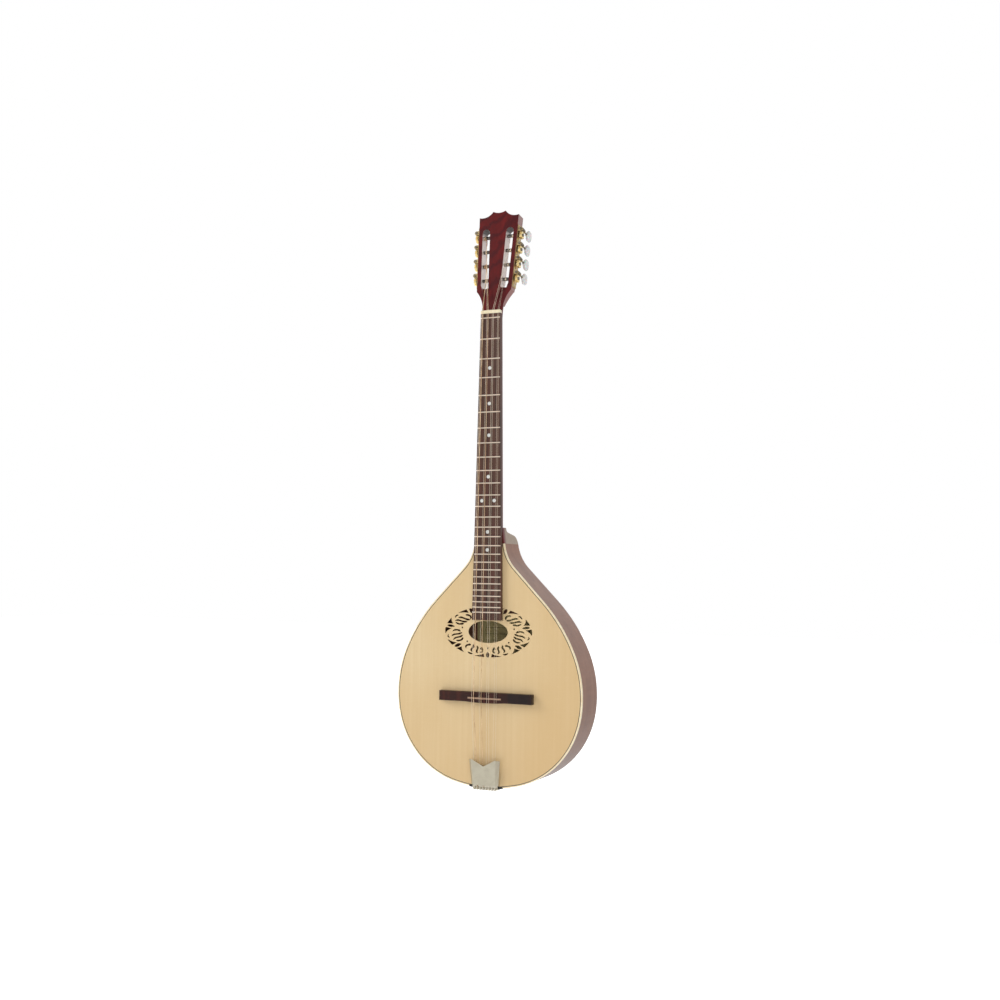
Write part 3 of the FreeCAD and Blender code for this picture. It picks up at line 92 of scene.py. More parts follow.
class Graph:
    """A material's node graph, written as nested calls."""

    def __init__(self, name):
        self.material = bpy.data.materials.new(name)
        self.material.use_nodes = True
        self.tree = self.material.node_tree
        self.shader = self.tree.nodes["Principled BSDF"]
        self.place = self.tree.nodes.new("ShaderNodeTexCoord").outputs["Object"]

    def put(self, socket, value):
        """Link a socket, or set it to a constant."""
        if isinstance(value, bpy.types.NodeSocket):
            self.tree.links.new(value, socket)
        else:
            socket.default_value = value

    def node(self, kind, output, **values):
        """Add a node: set_NAME is one of its settings, inN or a name is one of its inputs."""
        item = self.tree.nodes.new("ShaderNode" + kind)
        for name, value in values.items():
            if name.startswith("set_"):
                setattr(item, name[4:], value)
                continue
            key = int(name[2:]) if name.startswith("in") and name[2:].isdigit() else name.replace("_", " ")
            self.put(item.inputs[key], value)
        return item.outputs[output]

    def scaled(self, vector, x, y, z):
        """The point, stretched along each axis."""
        return self.node("VectorMath", 0, set_operation="MULTIPLY", in0=vector, in1=(x, y, z))

    def math(self, operation, first, second=0.0):
        """Two numbers, put together."""
        return self.node("Math", 0, set_operation=operation, in0=first, in1=second)

    def noise(self, vector, scale=1.0, detail=3.0, roughness=0.5, distortion=0.0):
        """Fractal noise at a point, around one half."""
        return self.node(
            "TexNoise",
            "Fac",
            Vector=vector,
            Scale=scale,
            Detail=detail,
            Roughness=roughness,
            Distortion=distortion,
        )

    def range(self, value, low, high, to_low=0.0, to_high=1.0):
        """A value carried from one range to another, and held at its ends."""
        return self.node("MapRange", 0, in0=value, in1=low, in2=high, in3=to_low, in4=to_high)

    def mix(self, share, first, second):
        """Blend two colours."""
        return self.node("Mix", 2, set_data_type="RGBA", in0=share, in6=first, in7=second)

    def split(self, vector):
        """A vector's three numbers."""
        item = self.tree.nodes.new("ShaderNodeSeparateXYZ")
        self.put(item.inputs[0], vector)
        return item.outputs[0], item.outputs[1], item.outputs[2]

    def join(self, x, y, z):
        """Three numbers as a vector."""
        return self.node("CombineXYZ", 0, in0=x, in1=y, in2=z)

    def bump(self, height, distance, strength=0.5):
        """Raise the surface by a height, in metres."""
        normal = self.node("Bump", 0, Strength=strength, Distance=distance, Height=height)
        self.put(self.shader.inputs["Normal"], normal)

    def surface(self, **values):
        """Set the shader's own sockets."""
        for name, value in values.items():
            self.put(self.shader.inputs[name.replace("_", " ")], value)
        return self.material


def spruce():
    """The pale top: straight fine grain, book-matched at the middle, dark cut edges of char and painted
    shade, and painted shade towards the tail.
    """
    g = Graph("spruce_lacquered")
    x, y, z = g.split(g.place)
    mirrored = g.math("ABSOLUTE", x)
    sway = g.noise(g.join(g.math("MULTIPLY", mirrored, 6.0), y, g.math("MULTIPLY", z, 3.0)), 1.0, 2.0)
    across = g.math("ADD", mirrored, g.math("MULTIPLY", sway, 0.006))
    spread = g.math("POWER", g.math("ADD", across, 0.02), 0.85)
    ring = g.math("SINE", g.math("MULTIPLY", spread, 2600.0))
    late_wood = g.range(ring, 0.55, 1.0)
    lengthways = g.math("MULTIPLY", z, 1.5)
    uneven = g.noise(g.join(g.math("MULTIPLY", across, 90.0), 0.0, lengthways), 1.0, 4.0, 0.7)
    fibre = g.noise(g.scaled(g.place, 2600.0, 900.0, 40.0))
    silk = g.noise(g.scaled(g.place, 60.0, 1.0, 260.0), 1.0, 3.0)
    patch = g.noise(g.scaled(g.place, 9.0, 1.0, 4.0), 1.0, 2.0)
    base = g.mix(g.range(patch, 0.3, 0.7), srgb(226, 202, 158), srgb(218, 189, 140))
    base = g.mix(g.math("MULTIPLY", g.range(uneven, 0.35, 0.75), 0.4), base, srgb(206, 173, 122))
    base = g.mix(g.math("MULTIPLY", late_wood, 0.09), base, srgb(196, 156, 104))
    base = g.mix(g.math("MULTIPLY", g.range(fibre, 0.4, 0.8), 0.12), base, srgb(236, 217, 180))
    base = g.mix(g.math("MULTIPLY", g.range(silk, 0.55, 0.8), 0.10), base, srgb(238, 220, 184))
    # painted shade: the top turns darker and yellower towards the tail and the right side, where less light
    # falls
    painted_falloff_shade = g.math("ADD", g.range(z, -0.60, -0.82), g.range(x, -0.02, 0.16))
    base = g.mix(g.math("MULTIPLY", painted_falloff_shade, 0.34), base, srgb(205, 166, 108))
    # dark surfaces below the top's face: char from cutting, with painted shade in these recesses
    cut_edge_char_and_shade = g.range(y, 0.2 * MM, 0.9 * MM)
    base = g.mix(g.math("MULTIPLY", cut_edge_char_and_shade, 0.85), base, srgb(52, 36, 24))
    g.bump(g.math("ADD", g.math("MULTIPLY", late_wood, 0.6), fibre), 0.00004, 0.35)
    return g.surface(
        Base_Color=base,
        Roughness=g.range(fibre, 0.3, 0.7, 0.38, 0.48),
        Coat_Weight=0.16,
        Coat_Roughness=0.14,
    )


def stained_wood(name, dark, middle, light, along, figure, roughness=0.26, coat=0.8, repaint=None):
    """Stained wood under lacquer: streaks along the grain, pores, and bands of figure across it.

    A repaint function changes the colour in some places, and may set the coat's weight too.
    """
    g = Graph(name)
    stretch = [38.0 if axis == along else 900.0 for axis in "xyz"]
    broad = [2.2 if axis == along else 46.0 for axis in "xyz"]
    bands = [70.0 if axis == along else 7.0 for axis in "xyz"]
    pores = g.noise(g.scaled(g.place, *stretch), 1.0, 4.0, 0.65)
    streaks = g.noise(g.scaled(g.place, *broad), 1.0, 5.0, 0.6, 0.6)
    ripple = g.noise(g.scaled(g.place, *bands), 1.0, 3.0, 0.5, 0.8)
    colour = g.mix(g.range(streaks, 0.32, 0.68), dark, middle)
    colour = g.mix(g.math("MULTIPLY", g.range(ripple, 0.45, 0.75), figure), colour, light)
    if repaint:
        colour = repaint(g, colour)
    colour = g.mix(g.math("MULTIPLY", g.range(pores, 0.56, 0.72), 0.4), colour, dark)
    g.bump(g.math("ADD", pores, g.math("MULTIPLY", streaks, 0.5)), 0.00005, 0.25)
    g.shader.inputs["Specular IOR Level"].default_value = 0.5 if coat > 0.5 else 0.3
    if not g.shader.inputs["Coat Weight"].is_linked:
        g.put(g.shader.inputs["Coat Weight"], coat)
    return g.surface(
        Base_Color=colour,
        Roughness=g.range(pores, 0.3, 0.7, roughness, roughness + 0.12),
        Coat_Roughness=0.06,
    )


def between(g, value, low, high, blur):
    """One where a value lies between two limits, with soft edges."""
    above = g.range(value, low - blur, low + blur)
    below = g.range(value, high + blur, high - blur)
    return g.math("MULTIPLY", above, below)


# the headstock's tilt in degrees, how far its face stands back, and how much its sides lean
HEAD_TILT = 7.8
HEAD_FACE = 1.5 * MM
HEAD_LEAN = 0.0343
# the slots, measured up the headstock and outwards from its middle, less the lean
SLOT_LOW = 56.0 * MM
SLOT_HIGH = 170.0 * MM
SLOT_INNER = 9.3 * MM
SLOT_OUTER = 24.3 * MM
# the top of the slots, above the last roller, lies in shade
SHADE_LOW = 153.5 * MM
SHADE_HIGH = 158.0 * MM


def neck_figure_and_painted_light(g, colour):
    """The headstock's diagonal figure; painted light and shade on the slot walls; painted sheen on the sides
    and heel.
    """
    x, y, z = g.split(g.place)
    towards_x, _, _ = g.split(g.node("TexCoord", "Normal"))
    facing = g.range(g.math("ABSOLUTE", towards_x), 0.45, 0.75)
    painted_sheen_sides = g.math("MULTIPLY", facing, g.range(z, 0.016, 0.024))
    slant = g.math("ADD", z, g.math("MULTIPLY", x, -0.85))
    wander = g.noise(g.scaled(g.place, 28.0, 12.0, 18.0), 1.0, 3.0, 0.6, 0.5)
    phase = g.math("ADD", g.math("MULTIPLY", slant, 215.0), g.math("MULTIPLY", wander, 13.0))
    stripe = g.range(g.math("SINE", phase), -0.2, 0.95)
    in_head = g.math("MULTIPLY", stripe, g.range(z, 0.02, 0.06))
    colour = g.mix(g.math("MULTIPLY", in_head, 0.75), colour, srgb(66, 10, 16))
    tilt = math.radians(HEAD_TILT)
    # painted sheen: the headstock's sides take a pale colour that stands in for the lacquer's reflection
    colour = g.mix(g.math("MULTIPLY", painted_sheen_sides, 0.6), colour, srgb(172, 122, 114))
    g.put(g.shader.inputs["Coat Weight"], g.math("ADD", g.math("MULTIPLY", painted_sheen_sides, 0.6), 0.12))
    lift = g.math("ADD", y, HEAD_FACE)
    depth = g.math(
        "SUBTRACT", g.math("MULTIPLY", lift, math.cos(tilt)), g.math("MULTIPLY", z, math.sin(tilt))
    )
    in_depth = between(g, depth, 0.9 * MM, 19.0 * MM, 0.3 * MM)
    in_slot = g.math("MULTIPLY", between(g, z, SLOT_LOW, SLOT_HIGH, 0.4 * MM), in_depth)
    from_middle = g.math("SUBTRACT", g.math("ABSOLUTE", x), g.math("MULTIPLY", z, HEAD_LEAN))
    in_slot = g.math("MULTIPLY", in_slot, between(g, from_middle, SLOT_INNER, SLOT_OUTER, 0.3 * MM))
    # painted light on the slot walls, and painted shade at their top ends above the last roller
    slot_wall_light_and_shade = g.mix(g.range(z, SHADE_LOW, SHADE_HIGH), srgb(234, 224, 219), srgb(70, 60, 58))
    colour = g.mix(in_slot, colour, slot_wall_light_and_shade)
    # painted sheen: the heel takes a pale colour that stands in for the lacquer's reflection
    heel_painted_sheen = g.math("MULTIPLY", g.range(z, -0.350, -0.366), g.range(y, 0.004, 0.012))
    return g.mix(heel_painted_sheen, colour, srgb(164, 146, 128))


def bridge_dark_reflection(g, colour):
    """Painted dark reflection: the bridge's treble end turns nearly black."""
    x, _, z = g.split(g.place)
    edge = g.math("ADD", x, g.math("MULTIPLY", g.noise(g.place, 90.0, 2.0), 0.004))
    return g.mix(g.math("MULTIPLY", g.range(edge, 0.042, 0.047), 0.85), colour, srgb(22, 10, 9))


def side_shade(g, colour):
    """Painted shade: the sides turn darker towards the tail."""
    _, _, z = g.split(g.place)
    return g.mix(g.math("MULTIPLY", g.range(z, -0.60, -0.80), 0.6), colour, srgb(84, 57, 40))


def board_wood():
    """The fingerboard: open-pored brown wood with darker and redder streaks."""
    g = Graph("board_wood_oiled")
    streaks = g.noise(g.scaled(g.place, 260.0, 200.0, 5.0), 1.0, 5.0, 0.62, 0.5)
    redder = g.noise(g.scaled(g.place, 90.0, 70.0, 2.6), 1.0, 3.0, 0.55, 0.4)
    pores = g.noise(g.scaled(g.place, 2400.0, 2400.0, 110.0), 1.0, 3.0, 0.6)
    colour = g.mix(g.range(streaks, 0.35, 0.65), srgb(50, 29, 19), srgb(86, 52, 36))
    colour = g.mix(g.math("MULTIPLY", g.range(redder, 0.45, 0.7), 0.55), colour, srgb(104, 52, 38))
    colour = g.mix(g.math("MULTIPLY", g.range(pores, 0.58, 0.7), 0.7), colour, srgb(34, 20, 16))
    g.bump(g.range(pores, 0.62, 0.5), 0.00008, 0.5)
    return g.surface(
        Base_Color=colour,
        Roughness=g.range(streaks, 0.3, 0.7, 0.38, 0.52),
        Coat_Weight=0.06,
        Coat_Roughness=0.3,
    )


def bare_wood():
    """The unfinished wood inside the body."""
    g = Graph("inner_wood_bare")
    streaks = g.noise(g.scaled(g.place, 300.0, 300.0, 9.0), 1.0, 5.0, 0.65)
    pores = g.noise(g.scaled(g.place, 1800.0, 1800.0, 90.0), 1.0, 3.0)
    colour = g.mix(g.range(streaks, 0.3, 0.7), srgb(150, 112, 70), srgb(190, 152, 104))
    g.bump(pores, 0.0001, 0.5)
    return g.surface(Base_Color=colour, Roughness=g.range(pores, 0.3, 0.7, 0.6, 0.8))


def metal(name, colour, worn, roughness, scratch=0.25, along="z"):
    """Plated or drawn metal with fine scratches and a little tarnish."""
    g = Graph(name)
    stretch = [60.0 if axis == along else 2400.0 for axis in "xyz"]
    scratches = g.noise(g.scaled(g.place, *stretch), 1.0, 3.0, 0.6)
    tarnish = g.noise(g.place, 90.0, 4.0, 0.6, 0.3)
    g.bump(scratches, 0.00002, scratch)
    rubbed = g.range(scratches, 0.3, 0.7, roughness, roughness + 0.12)
    return g.surface(
        Base_Color=g.mix(g.range(tarnish, 0.42, 0.72), colour, worn),
        Metallic=1.0,
        Roughness=g.math("ADD", rubbed, g.math("MULTIPLY", tarnish, 0.06)),
    )


def wound_wire(name, colour, groove, pitch):
    """A wound string: close turns of wire, seen as ridges along it."""
    g = Graph(name)
    x, y, z = g.split(g.place)
    ridge = g.math("ABSOLUTE", g.math("SINE", g.math("MULTIPLY", z, math.pi / pitch)))
    tarnish = g.noise(g.place, 60.0, 3.0)
    g.bump(ridge, 0.0001, 0.8)
    body = g.mix(g.range(tarnish, 0.4, 0.7), colour, groove)
    return g.surface(
        Base_Color=g.mix(g.range(ridge, 0.35, 0.0), body, groove),
        Metallic=1.0,
        Roughness=g.range(ridge, 0.0, 1.0, 0.55, 0.3),
    )


def moulded(name, colour, deeper, roughness, coat=0.3, grain=60.0, depth=0.00003, **extra):
    """Bone or moulded plastic: slight clouds, a faint orange-peel and soft gloss."""
    g = Graph(name)
    cloud = g.noise(g.place, grain, 3.0, 0.5, 0.6)
    peel = g.noise(g.place, 1500.0, 2.0)
    g.bump(peel, depth, 0.3)
    return g.surface(
        Base_Color=g.mix(g.range(cloud, 0.35, 0.7), colour, deeper),
        Roughness=g.range(peel, 0.3, 0.7, roughness, roughness + 0.08),
        Coat_Weight=coat,
        Coat_Roughness=0.1,
        **extra,
    )


def pearl():
    """The position dots: swirled shell with a soft lustre."""
    g = Graph("pearl_shell")
    swirl = g.noise(g.place, 420.0, 4.0, 0.6, 1.6)
    colour = g.mix(g.range(swirl, 0.35, 0.65), srgb(246, 246, 240), srgb(205, 214, 214))
    blush = g.range(g.noise(g.place, 700.0, 3.0), 0.5, 0.7)
    colour = g.mix(g.math("MULTIPLY", blush, 0.4), colour, srgb(236, 214, 220))
    g.bump(swirl, 0.00003, 0.3)
    return g.surface(Base_Color=colour, Roughness=g.range(swirl, 0.3, 0.7, 0.12, 0.26), Coat_Weight=0.6)


def label_paper():
    """The label inside the body: aged paper with a plain ruled border and blank lines."""
    g = Graph("label_paper")
    low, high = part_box("label")
    middle = (low + high) / 2
    x, y, z = g.split(g.place)
    from_x = g.math("ABSOLUTE", g.math("SUBTRACT", x, middle.x))
    from_z = g.math("ABSOLUTE", g.math("SUBTRACT", z, middle.z))
    half_x = (high.x - low.x) / 2
    half_z = (high.z - low.z) / 2
    fibres = g.noise(g.place, 900.0, 4.0, 0.7)
    blotch = g.noise(g.place, 30.0, 4.0, 0.6)
    colour = g.mix(g.range(blotch, 0.35, 0.7), srgb(228, 212, 152), srgb(200, 182, 124))
    colour = g.mix(g.math("MULTIPLY", fibres, 0.2), colour, srgb(120, 106, 66))
    ink = srgb(52, 44, 26)
    for inset, width in ((5.0, 0.9), (7.0, 0.3)):
        to_side = g.math("SUBTRACT", half_x - inset * MM, from_x)
        to_end = g.math("SUBTRACT", half_z - inset * MM, from_z)
        to_edge = g.math("MINIMUM", to_side, to_end)
        on_line = g.math("LESS_THAN", g.math("ABSOLUTE", to_edge), width * MM / 2)
        colour = g.mix(on_line, colour, ink)
    rows = g.math("PINGPONG", g.math("SUBTRACT", z, low.z), 5.5 * MM)
    ruled = g.math("LESS_THAN", rows, 0.35 * MM)
    in_width = g.math("LESS_THAN", from_x, half_x - 16 * MM)
    in_height = g.math("LESS_THAN", from_z, half_z - 12 * MM)
    on_row = g.math("MULTIPLY", ruled, g.math("MULTIPLY", in_width, in_height))
    colour = g.mix(g.math("MULTIPLY", on_row, 0.8), colour, ink)
    g.bump(fibres, 0.00005, 0.4)
    return g.surface(Base_Color=colour, Roughness=g.range(fibres, 0.3, 0.7, 0.75, 0.9))


SIDE_WOOD = stained_wood(
    "side_wood_lacquered",
    srgb(128, 86, 65),
    srgb(148, 103, 80),
    srgb(160, 114, 93),
    "z",
    0.25,
    roughness=0.4,
    coat=0.34,
    repaint=side_shade,
)
NECK_WOOD = stained_wood(
    "neck_wood_lacquered",
    srgb(74, 10, 12),
    srgb(104, 18, 18),
    srgb(116, 24, 22),
    "z",
    0.2,
    coat=0.12,
    repaint=neck_figure_and_painted_light,
)
BRIDGE_WOOD = stained_wood(
    "bridge_wood_polished",
    srgb(24, 7, 3),
    srgb(62, 22, 10),
    srgb(100, 42, 24),
    "x",
    0.5,
    roughness=0.34,
    coat=0.08,
    repaint=bridge_dark_reflection,
)
BINDING = moulded("binding_cream", srgb(250, 232, 196), srgb(240, 216, 172), 0.3, Subsurface_Weight=0.05)
PURFLING = moulded("purfling_dark", srgb(50, 44, 26), srgb(34, 28, 16), 0.35)
BONE = moulded(
    "nut_bone", srgb(252, 240, 210), srgb(240, 222, 184), 0.32, grain=160.0, Subsurface_Weight=0.08
)
SADDLE = moulded("saddle_horn", srgb(176, 142, 116), srgb(142, 110, 88), 0.3, coat=0.3, grain=200.0)
BLACK = moulded("ebony_black", srgb(30, 25, 20), srgb(18, 14, 12), 0.3)
BUTTON = moulded(
    "button_pearl",
    srgb(226, 228, 227),
    srgb(206, 209, 211),
    0.18,
    coat=0.6,
    grain=140.0,
    Subsurface_Weight=0.25,
)
NICKEL = metal("nickel_plate", srgb(214, 208, 192), srgb(190, 182, 160), 0.22)
COVER_METAL = metal("tailpiece_nickel", srgb(196, 190, 171), srgb(186, 179, 160), 0.38, 0.12, "x")
BRASS = metal("gear_brass", srgb(255, 236, 182), srgb(244, 212, 142), 0.28)
PLATE_METAL = metal("plate_gilt", srgb(214, 192, 146), srgb(176, 148, 100), 0.30)
WORM_METAL = metal("worm_steel", srgb(150, 140, 124), srgb(104, 94, 80), 0.30)
POST_METAL = metal("roller_steel", srgb(120, 116, 112), srgb(82, 78, 74), 0.32)
FRET_METAL = metal("fret_silver", srgb(250, 236, 220), srgb(232, 216, 196), 0.34, 0.2, "x")
STEEL_STRING = metal("string_steel", srgb(240, 226, 204), srgb(222, 206, 180), 0.34, 0.1)
BRONZE_STRING = wound_wire("string_bronze", srgb(248, 222, 186), srgb(190, 150, 112), 0.00036)

NODE_LOOKS = {
    "soundboard": spruce(),
    "back_plate": SIDE_WOOD,
    "side_left": SIDE_WOOD,
    "side_right": SIDE_WOOD,
    "neck": NECK_WOOD,
    "headstock": NECK_WOOD,
    "fingerboard": board_wood(),
    "bridge": BRIDGE_WOOD,
    "saddle": SADDLE,
    "nut": BONE,
    "binding": BINDING,
    "purfling": PURFLING,
    "position_dots": pearl(),
    "label": label_paper(),
    "tail_saddle": BLACK,
    "frets": FRET_METAL,
    "tailpiece_cover": COVER_METAL,
    "tailpiece_base": NICKEL,
    "tailpiece_screws": NICKEL,
    "tuner_plate_left": PLATE_METAL,
    "tuner_plate_right": PLATE_METAL,
    "tuner_screws": NICKEL,
    "strings_plain": STEEL_STRING,
    "strings_wound": BRONZE_STRING,
}
INNER_WOOD = bare_wood()
for name in ("neck_block", "tail_block", "linings", "braces"):
    NODE_LOOKS[name] = INNER_WOOD
for name in NODES:
    for ending, look in (("_gear", BRASS), ("_post", POST_METAL), ("_worm", WORM_METAL), ("_button", BUTTON)):
        if name.endswith(ending):
            NODE_LOOKS[name] = look
for name, node in NODES.items():
    node.data.materials.clear()
    node.data.materials.append(NODE_LOOKS[name])

# ---------------------------------------------------------------- light and stage


def area_light(name, place, target, width, height, power):
    """A soft white light that faces a target."""
    data = bpy.data.lights.new(name, "AREA")
    data.shape = "RECTANGLE"
    data.size = width
    data.size_y = height
    data.energy = power
    item = bpy.data.objects.new(name, data)
    item.location = place
    item.rotation_euler = (Vector(target) - Vector(place)).to_track_quat("-Z", "Y").to_euler()
    collection.objects.link(item)


def make_world():
    """A white studio, brighter behind the instrument and overhead than in front and below."""
    world = bpy.data.worlds.new("studio")
    world.use_nodes = True
    tree = world.node_tree
    tree.nodes.clear()
    link = tree.links.new
    place = tree.nodes.new("ShaderNodeTexCoord")
    parts = tree.nodes.new("ShaderNodeSeparateXYZ")
    link(place.outputs["Generated"], parts.inputs[0])
    shade = tree.nodes.new("ShaderNodeMapRange")
    link(parts.outputs[1], shade.inputs[0])
    for index, value in enumerate((-0.35, 0.30, 0.26, 0.80), start=1):
        shade.inputs[index].default_value = value
    rise = tree.nodes.new("ShaderNodeMapRange")
    link(parts.outputs[2], rise.inputs[0])
    for index, value in enumerate((-0.3, 0.4, 0.75, 1.15), start=1):
        rise.inputs[index].default_value = value
    both = tree.nodes.new("ShaderNodeMath")
    both.operation = "MULTIPLY"
    link(shade.outputs[0], both.inputs[0])
    link(rise.outputs[0], both.inputs[1])
    lighting = tree.nodes.new("ShaderNodeBackground")
    link(both.outputs[0], lighting.inputs["Strength"])
    shown = tree.nodes.new("ShaderNodeBackground")
    path = tree.nodes.new("ShaderNodeLightPath")
    choice = tree.nodes.new("ShaderNodeMixShader")
    link(path.outputs["Is Camera Ray"], choice.inputs[0])
    link(lighting.outputs[0], choice.inputs[1])
    link(shown.outputs[0], choice.inputs[2])
    out = tree.nodes.new("ShaderNodeOutputWorld")
    link(choice.outputs[0], out.inputs[0])
    for background in (lighting, shown):
        background.inputs["Color"].default_value = (1.0, 1.0, 1.0, 1.0)
    shown.inputs["Strength"].default_value = 1.0
    scene.world = world


def make_floor():
    """A plain pale floor, well below the hanging instrument."""
    mesh = bpy.data.meshes.new("floor")
    reach = 12.0
    level = cad_low.z - 0.30
    corners = [(-reach, -reach, level), (reach, -reach, level), (reach, reach, level), (-reach, reach, level)]
    mesh.from_pydata(corners, [], [(0, 1, 2, 3)])
    floor = bpy.data.objects.new("floor", mesh)
    collection.objects.link(floor)
    g = Graph("floor_pale")
    grain = g.noise(g.place, 3.0, 2.0)
    g.surface(Base_Color=g.mix(grain, (0.93, 0.93, 0.93, 1.0), (0.95, 0.95, 0.95, 1.0)), Roughness=0.9)
    g.shader.inputs["Specular IOR Level"].default_value = 0.0
    g.shader.inputs["Emission Color"].default_value = (1.0, 1.0, 1.0, 1.0)
    shown = g.node("LightPath", "Is Camera Ray")
    g.put(g.shader.inputs["Emission Strength"], g.range(shown, 0.0, 1.0, 0.12, 0.75))
    mesh.materials.append(g.material)


MIDDLE = (0.0, 0.0, -0.35)
make_world()
make_floor()
area_light("key", (-2.9, -1.7, 1.3), MIDDLE, 1.8, 1.8, 71.0)
area_light("fill", (1.3, -2.4, 0.1), MIDDLE, 1.4, 1.8, 21.0)
scene.view_settings.view_transform = "Standard"

# ---------------------------------------------------------------- mesh helpers


def mesh_piece(name, vertices, faces, look, body, replaced=(), smooth=True):
    """A new mesh object that rides on a CAD body."""
    mesh = bpy.data.meshes.new(name)
    mesh.from_pydata([tuple(v) for v in vertices], [], faces)
    mesh.validate()
    item = bpy.data.objects.new(name, mesh)
    collection.objects.link(item)
    mesh.materials.append(look)
    work = bmesh.new()
    work.from_mesh(mesh)
    bmesh.ops.recalc_face_normals(work, faces=work.faces)
    work.to_mesh(mesh)
    work.free()
    for polygon in mesh.polygons:
        polygon.use_smooth = smooth
    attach(item, body)
    if replaced:
        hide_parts(*replaced)
    return item


def frame_at(origin, along, aside):
    """A matrix whose Z runs along a direction and whose X leans towards another."""
    z = Vector(along).normalized()
    x = (Vector(aside) - z * Vector(aside).dot(z)).normalized()
    y = z.cross(x)
    matrix = Matrix((x, y, z)).transposed().to_4x4()
    matrix.translation = Vector(origin)
    return matrix


def skin(rings, steps):
    """Faces that join equal rings of points and close both ends."""
    faces = []
    for ring in range(rings - 1):
        for step in range(steps):
            here = ring * steps + step
            beside = ring * steps + (step + 1) % steps
            faces.append((here, beside, beside + steps, here + steps))
    faces.append(tuple(range(steps - 1, -1, -1)))
    last = (rings - 1) * steps
    faces.append(tuple(last + step for step in range(steps)))
    return faces


def lathe(stations, steps, matrix):
    """Rings of (distance, radius) around a matrix's Z axis; both ends are closed."""
    vertices = []
    for distance, radius in stations:
        for step in range(steps):
            angle = 2 * math.pi * step / steps
            vertices.append(matrix @ Vector((radius * math.cos(angle), radius * math.sin(angle), distance)))
    return vertices, skin(len(stations), steps)


def tube(points, radius, steps=10):
    """A round tube through points, with its frame carried along."""
    points = [Vector(point) for point in points]
    vertices = []
    previous = None
    for index, point in enumerate(points):
        before = points[max(index - 1, 0)]
        after = points[min(index + 1, len(points) - 1)]
        along = (after - before).normalized()
        if previous is None:
            previous = along.orthogonal().normalized()
        aside = (previous - along * previous.dot(along)).normalized()
        previous = aside
        other = along.cross(aside)
        for step in range(steps):
            angle = 2 * math.pi * step / steps
            vertices.append(point + (aside * math.cos(angle) + other * math.sin(angle)) * radius)
    return vertices, skin(len(points), steps)


def merged(parts):
    """Several (vertices, faces) as one."""
    vertices = []
    faces = []
    for part_vertices, part_faces in parts:
        start = len(vertices)
        vertices.extend(part_vertices)
        faces.extend(tuple(index + start for index in face) for face in part_faces)
    return vertices, faces


# ---------------------------------------------------------------- machine heads

MACHINES = 4
SIDES = ("right", "left")
ROLLER_RADIUS = 3.0 * MM
GEAR_STAND = 4.5 * MM
STRING_FROM_GEAR = 22.2 * MM
STRING_STEP = 1.6 * MM
# radius, turns and kind of the string on each roller, from the machine nearest the nut; True is wound
WOUND_ON = {
    "left": ((0.29, 4, False), (0.58, 3, True), (0.23, 5, False), (0.44, 3, True)),
    "right": ((0.16, 6, False), (0.16, 6, False), (0.23, 5, False), (0.23, 5, False)),
}


def machine(side, number):
    """A machine's gear centre, outward axis, key centre, key axis and the plate's own direction."""
    roller = JOINTS["tuner_%s_%d_roller_spin" % (side, number)]
    key = JOINTS["tuner_%s_%d_key_spin" % (side, number)]
    first = Vector(JOINTS["tuner_%s_1_roller_spin" % side]["pos_m"])
    last = Vector(JOINTS["tuner_%s_%d_roller_spin" % (side, MACHINES)]["pos_m"])
    upwards = (last - first).normalized()
    return Vector(roller["pos_m"]), Vector(roller["axis"]), Vector(key["pos_m"]), Vector(key["axis"]), upwards


def helix(centre, axis, start, radius, pitch, turns, steps=28):
    """Points of a coil around an axis, from a starting direction."""
    axis = axis.normalized()
    aside = (start - axis * start.dot(axis)).normalized()
    other = axis.cross(aside)
    points = []
    for index in range(int(turns * steps) + 1):
        angle = 2 * math.pi * index / steps
        lift = axis * (pitch * index / steps)
        points.append(centre + lift + (aside * math.cos(angle) + other * math.sin(angle)) * radius)
    return points


def make_windings():
    """The turns of string on each roller, beside the place where the string arrives."""
    for side in SIDES:
        for number in range(1, MACHINES + 1):
            gear, outwards, _, depth, _ = machine(side, number)
            radius, turns, wound = WOUND_ON[side][number - 1]
            radius *= MM
            arrival = gear - outwards * (STRING_FROM_GEAR - STRING_STEP * (number - 1))
            gap = 2 * radius + 0.1 * MM
            reach = ROLLER_RADIUS + radius + 0.06 * MM
            coil = helix(arrival + outwards * gap, outwards, -depth, reach, 2 * radius + 0.03 * MM, turns)
            vertices, faces = tube(coil, radius, 8)
            look, slot = (BRONZE_STRING, "bronze_string") if wound else (STEEL_STRING, "steel_string")
            name = "winding_%s_%d" % (side, number)
            mesh_piece(name, vertices, faces, look, "tuner_%s_%d_roller" % (side, number))


# along the shaft, half width and half thickness, in millimetres
BUTTON_STATIONS = (
    (19.6, 2.7, 2.7),
    (21.6, 2.9, 2.8),
    (22.6, 3.6, 3.0),
    (23.3, 5.6, 3.2),
    (24.4, 7.6, 3.4),
    (26.2, 9.2, 3.6),
    (28.6, 10.0, 3.7),
    (31.4, 10.1, 3.7),
    (33.8, 9.6, 3.6),
    (35.5, 8.6, 3.3),
    (36.5, 7.2, 2.7),
    (36.95, 5.0, 1.6),
)


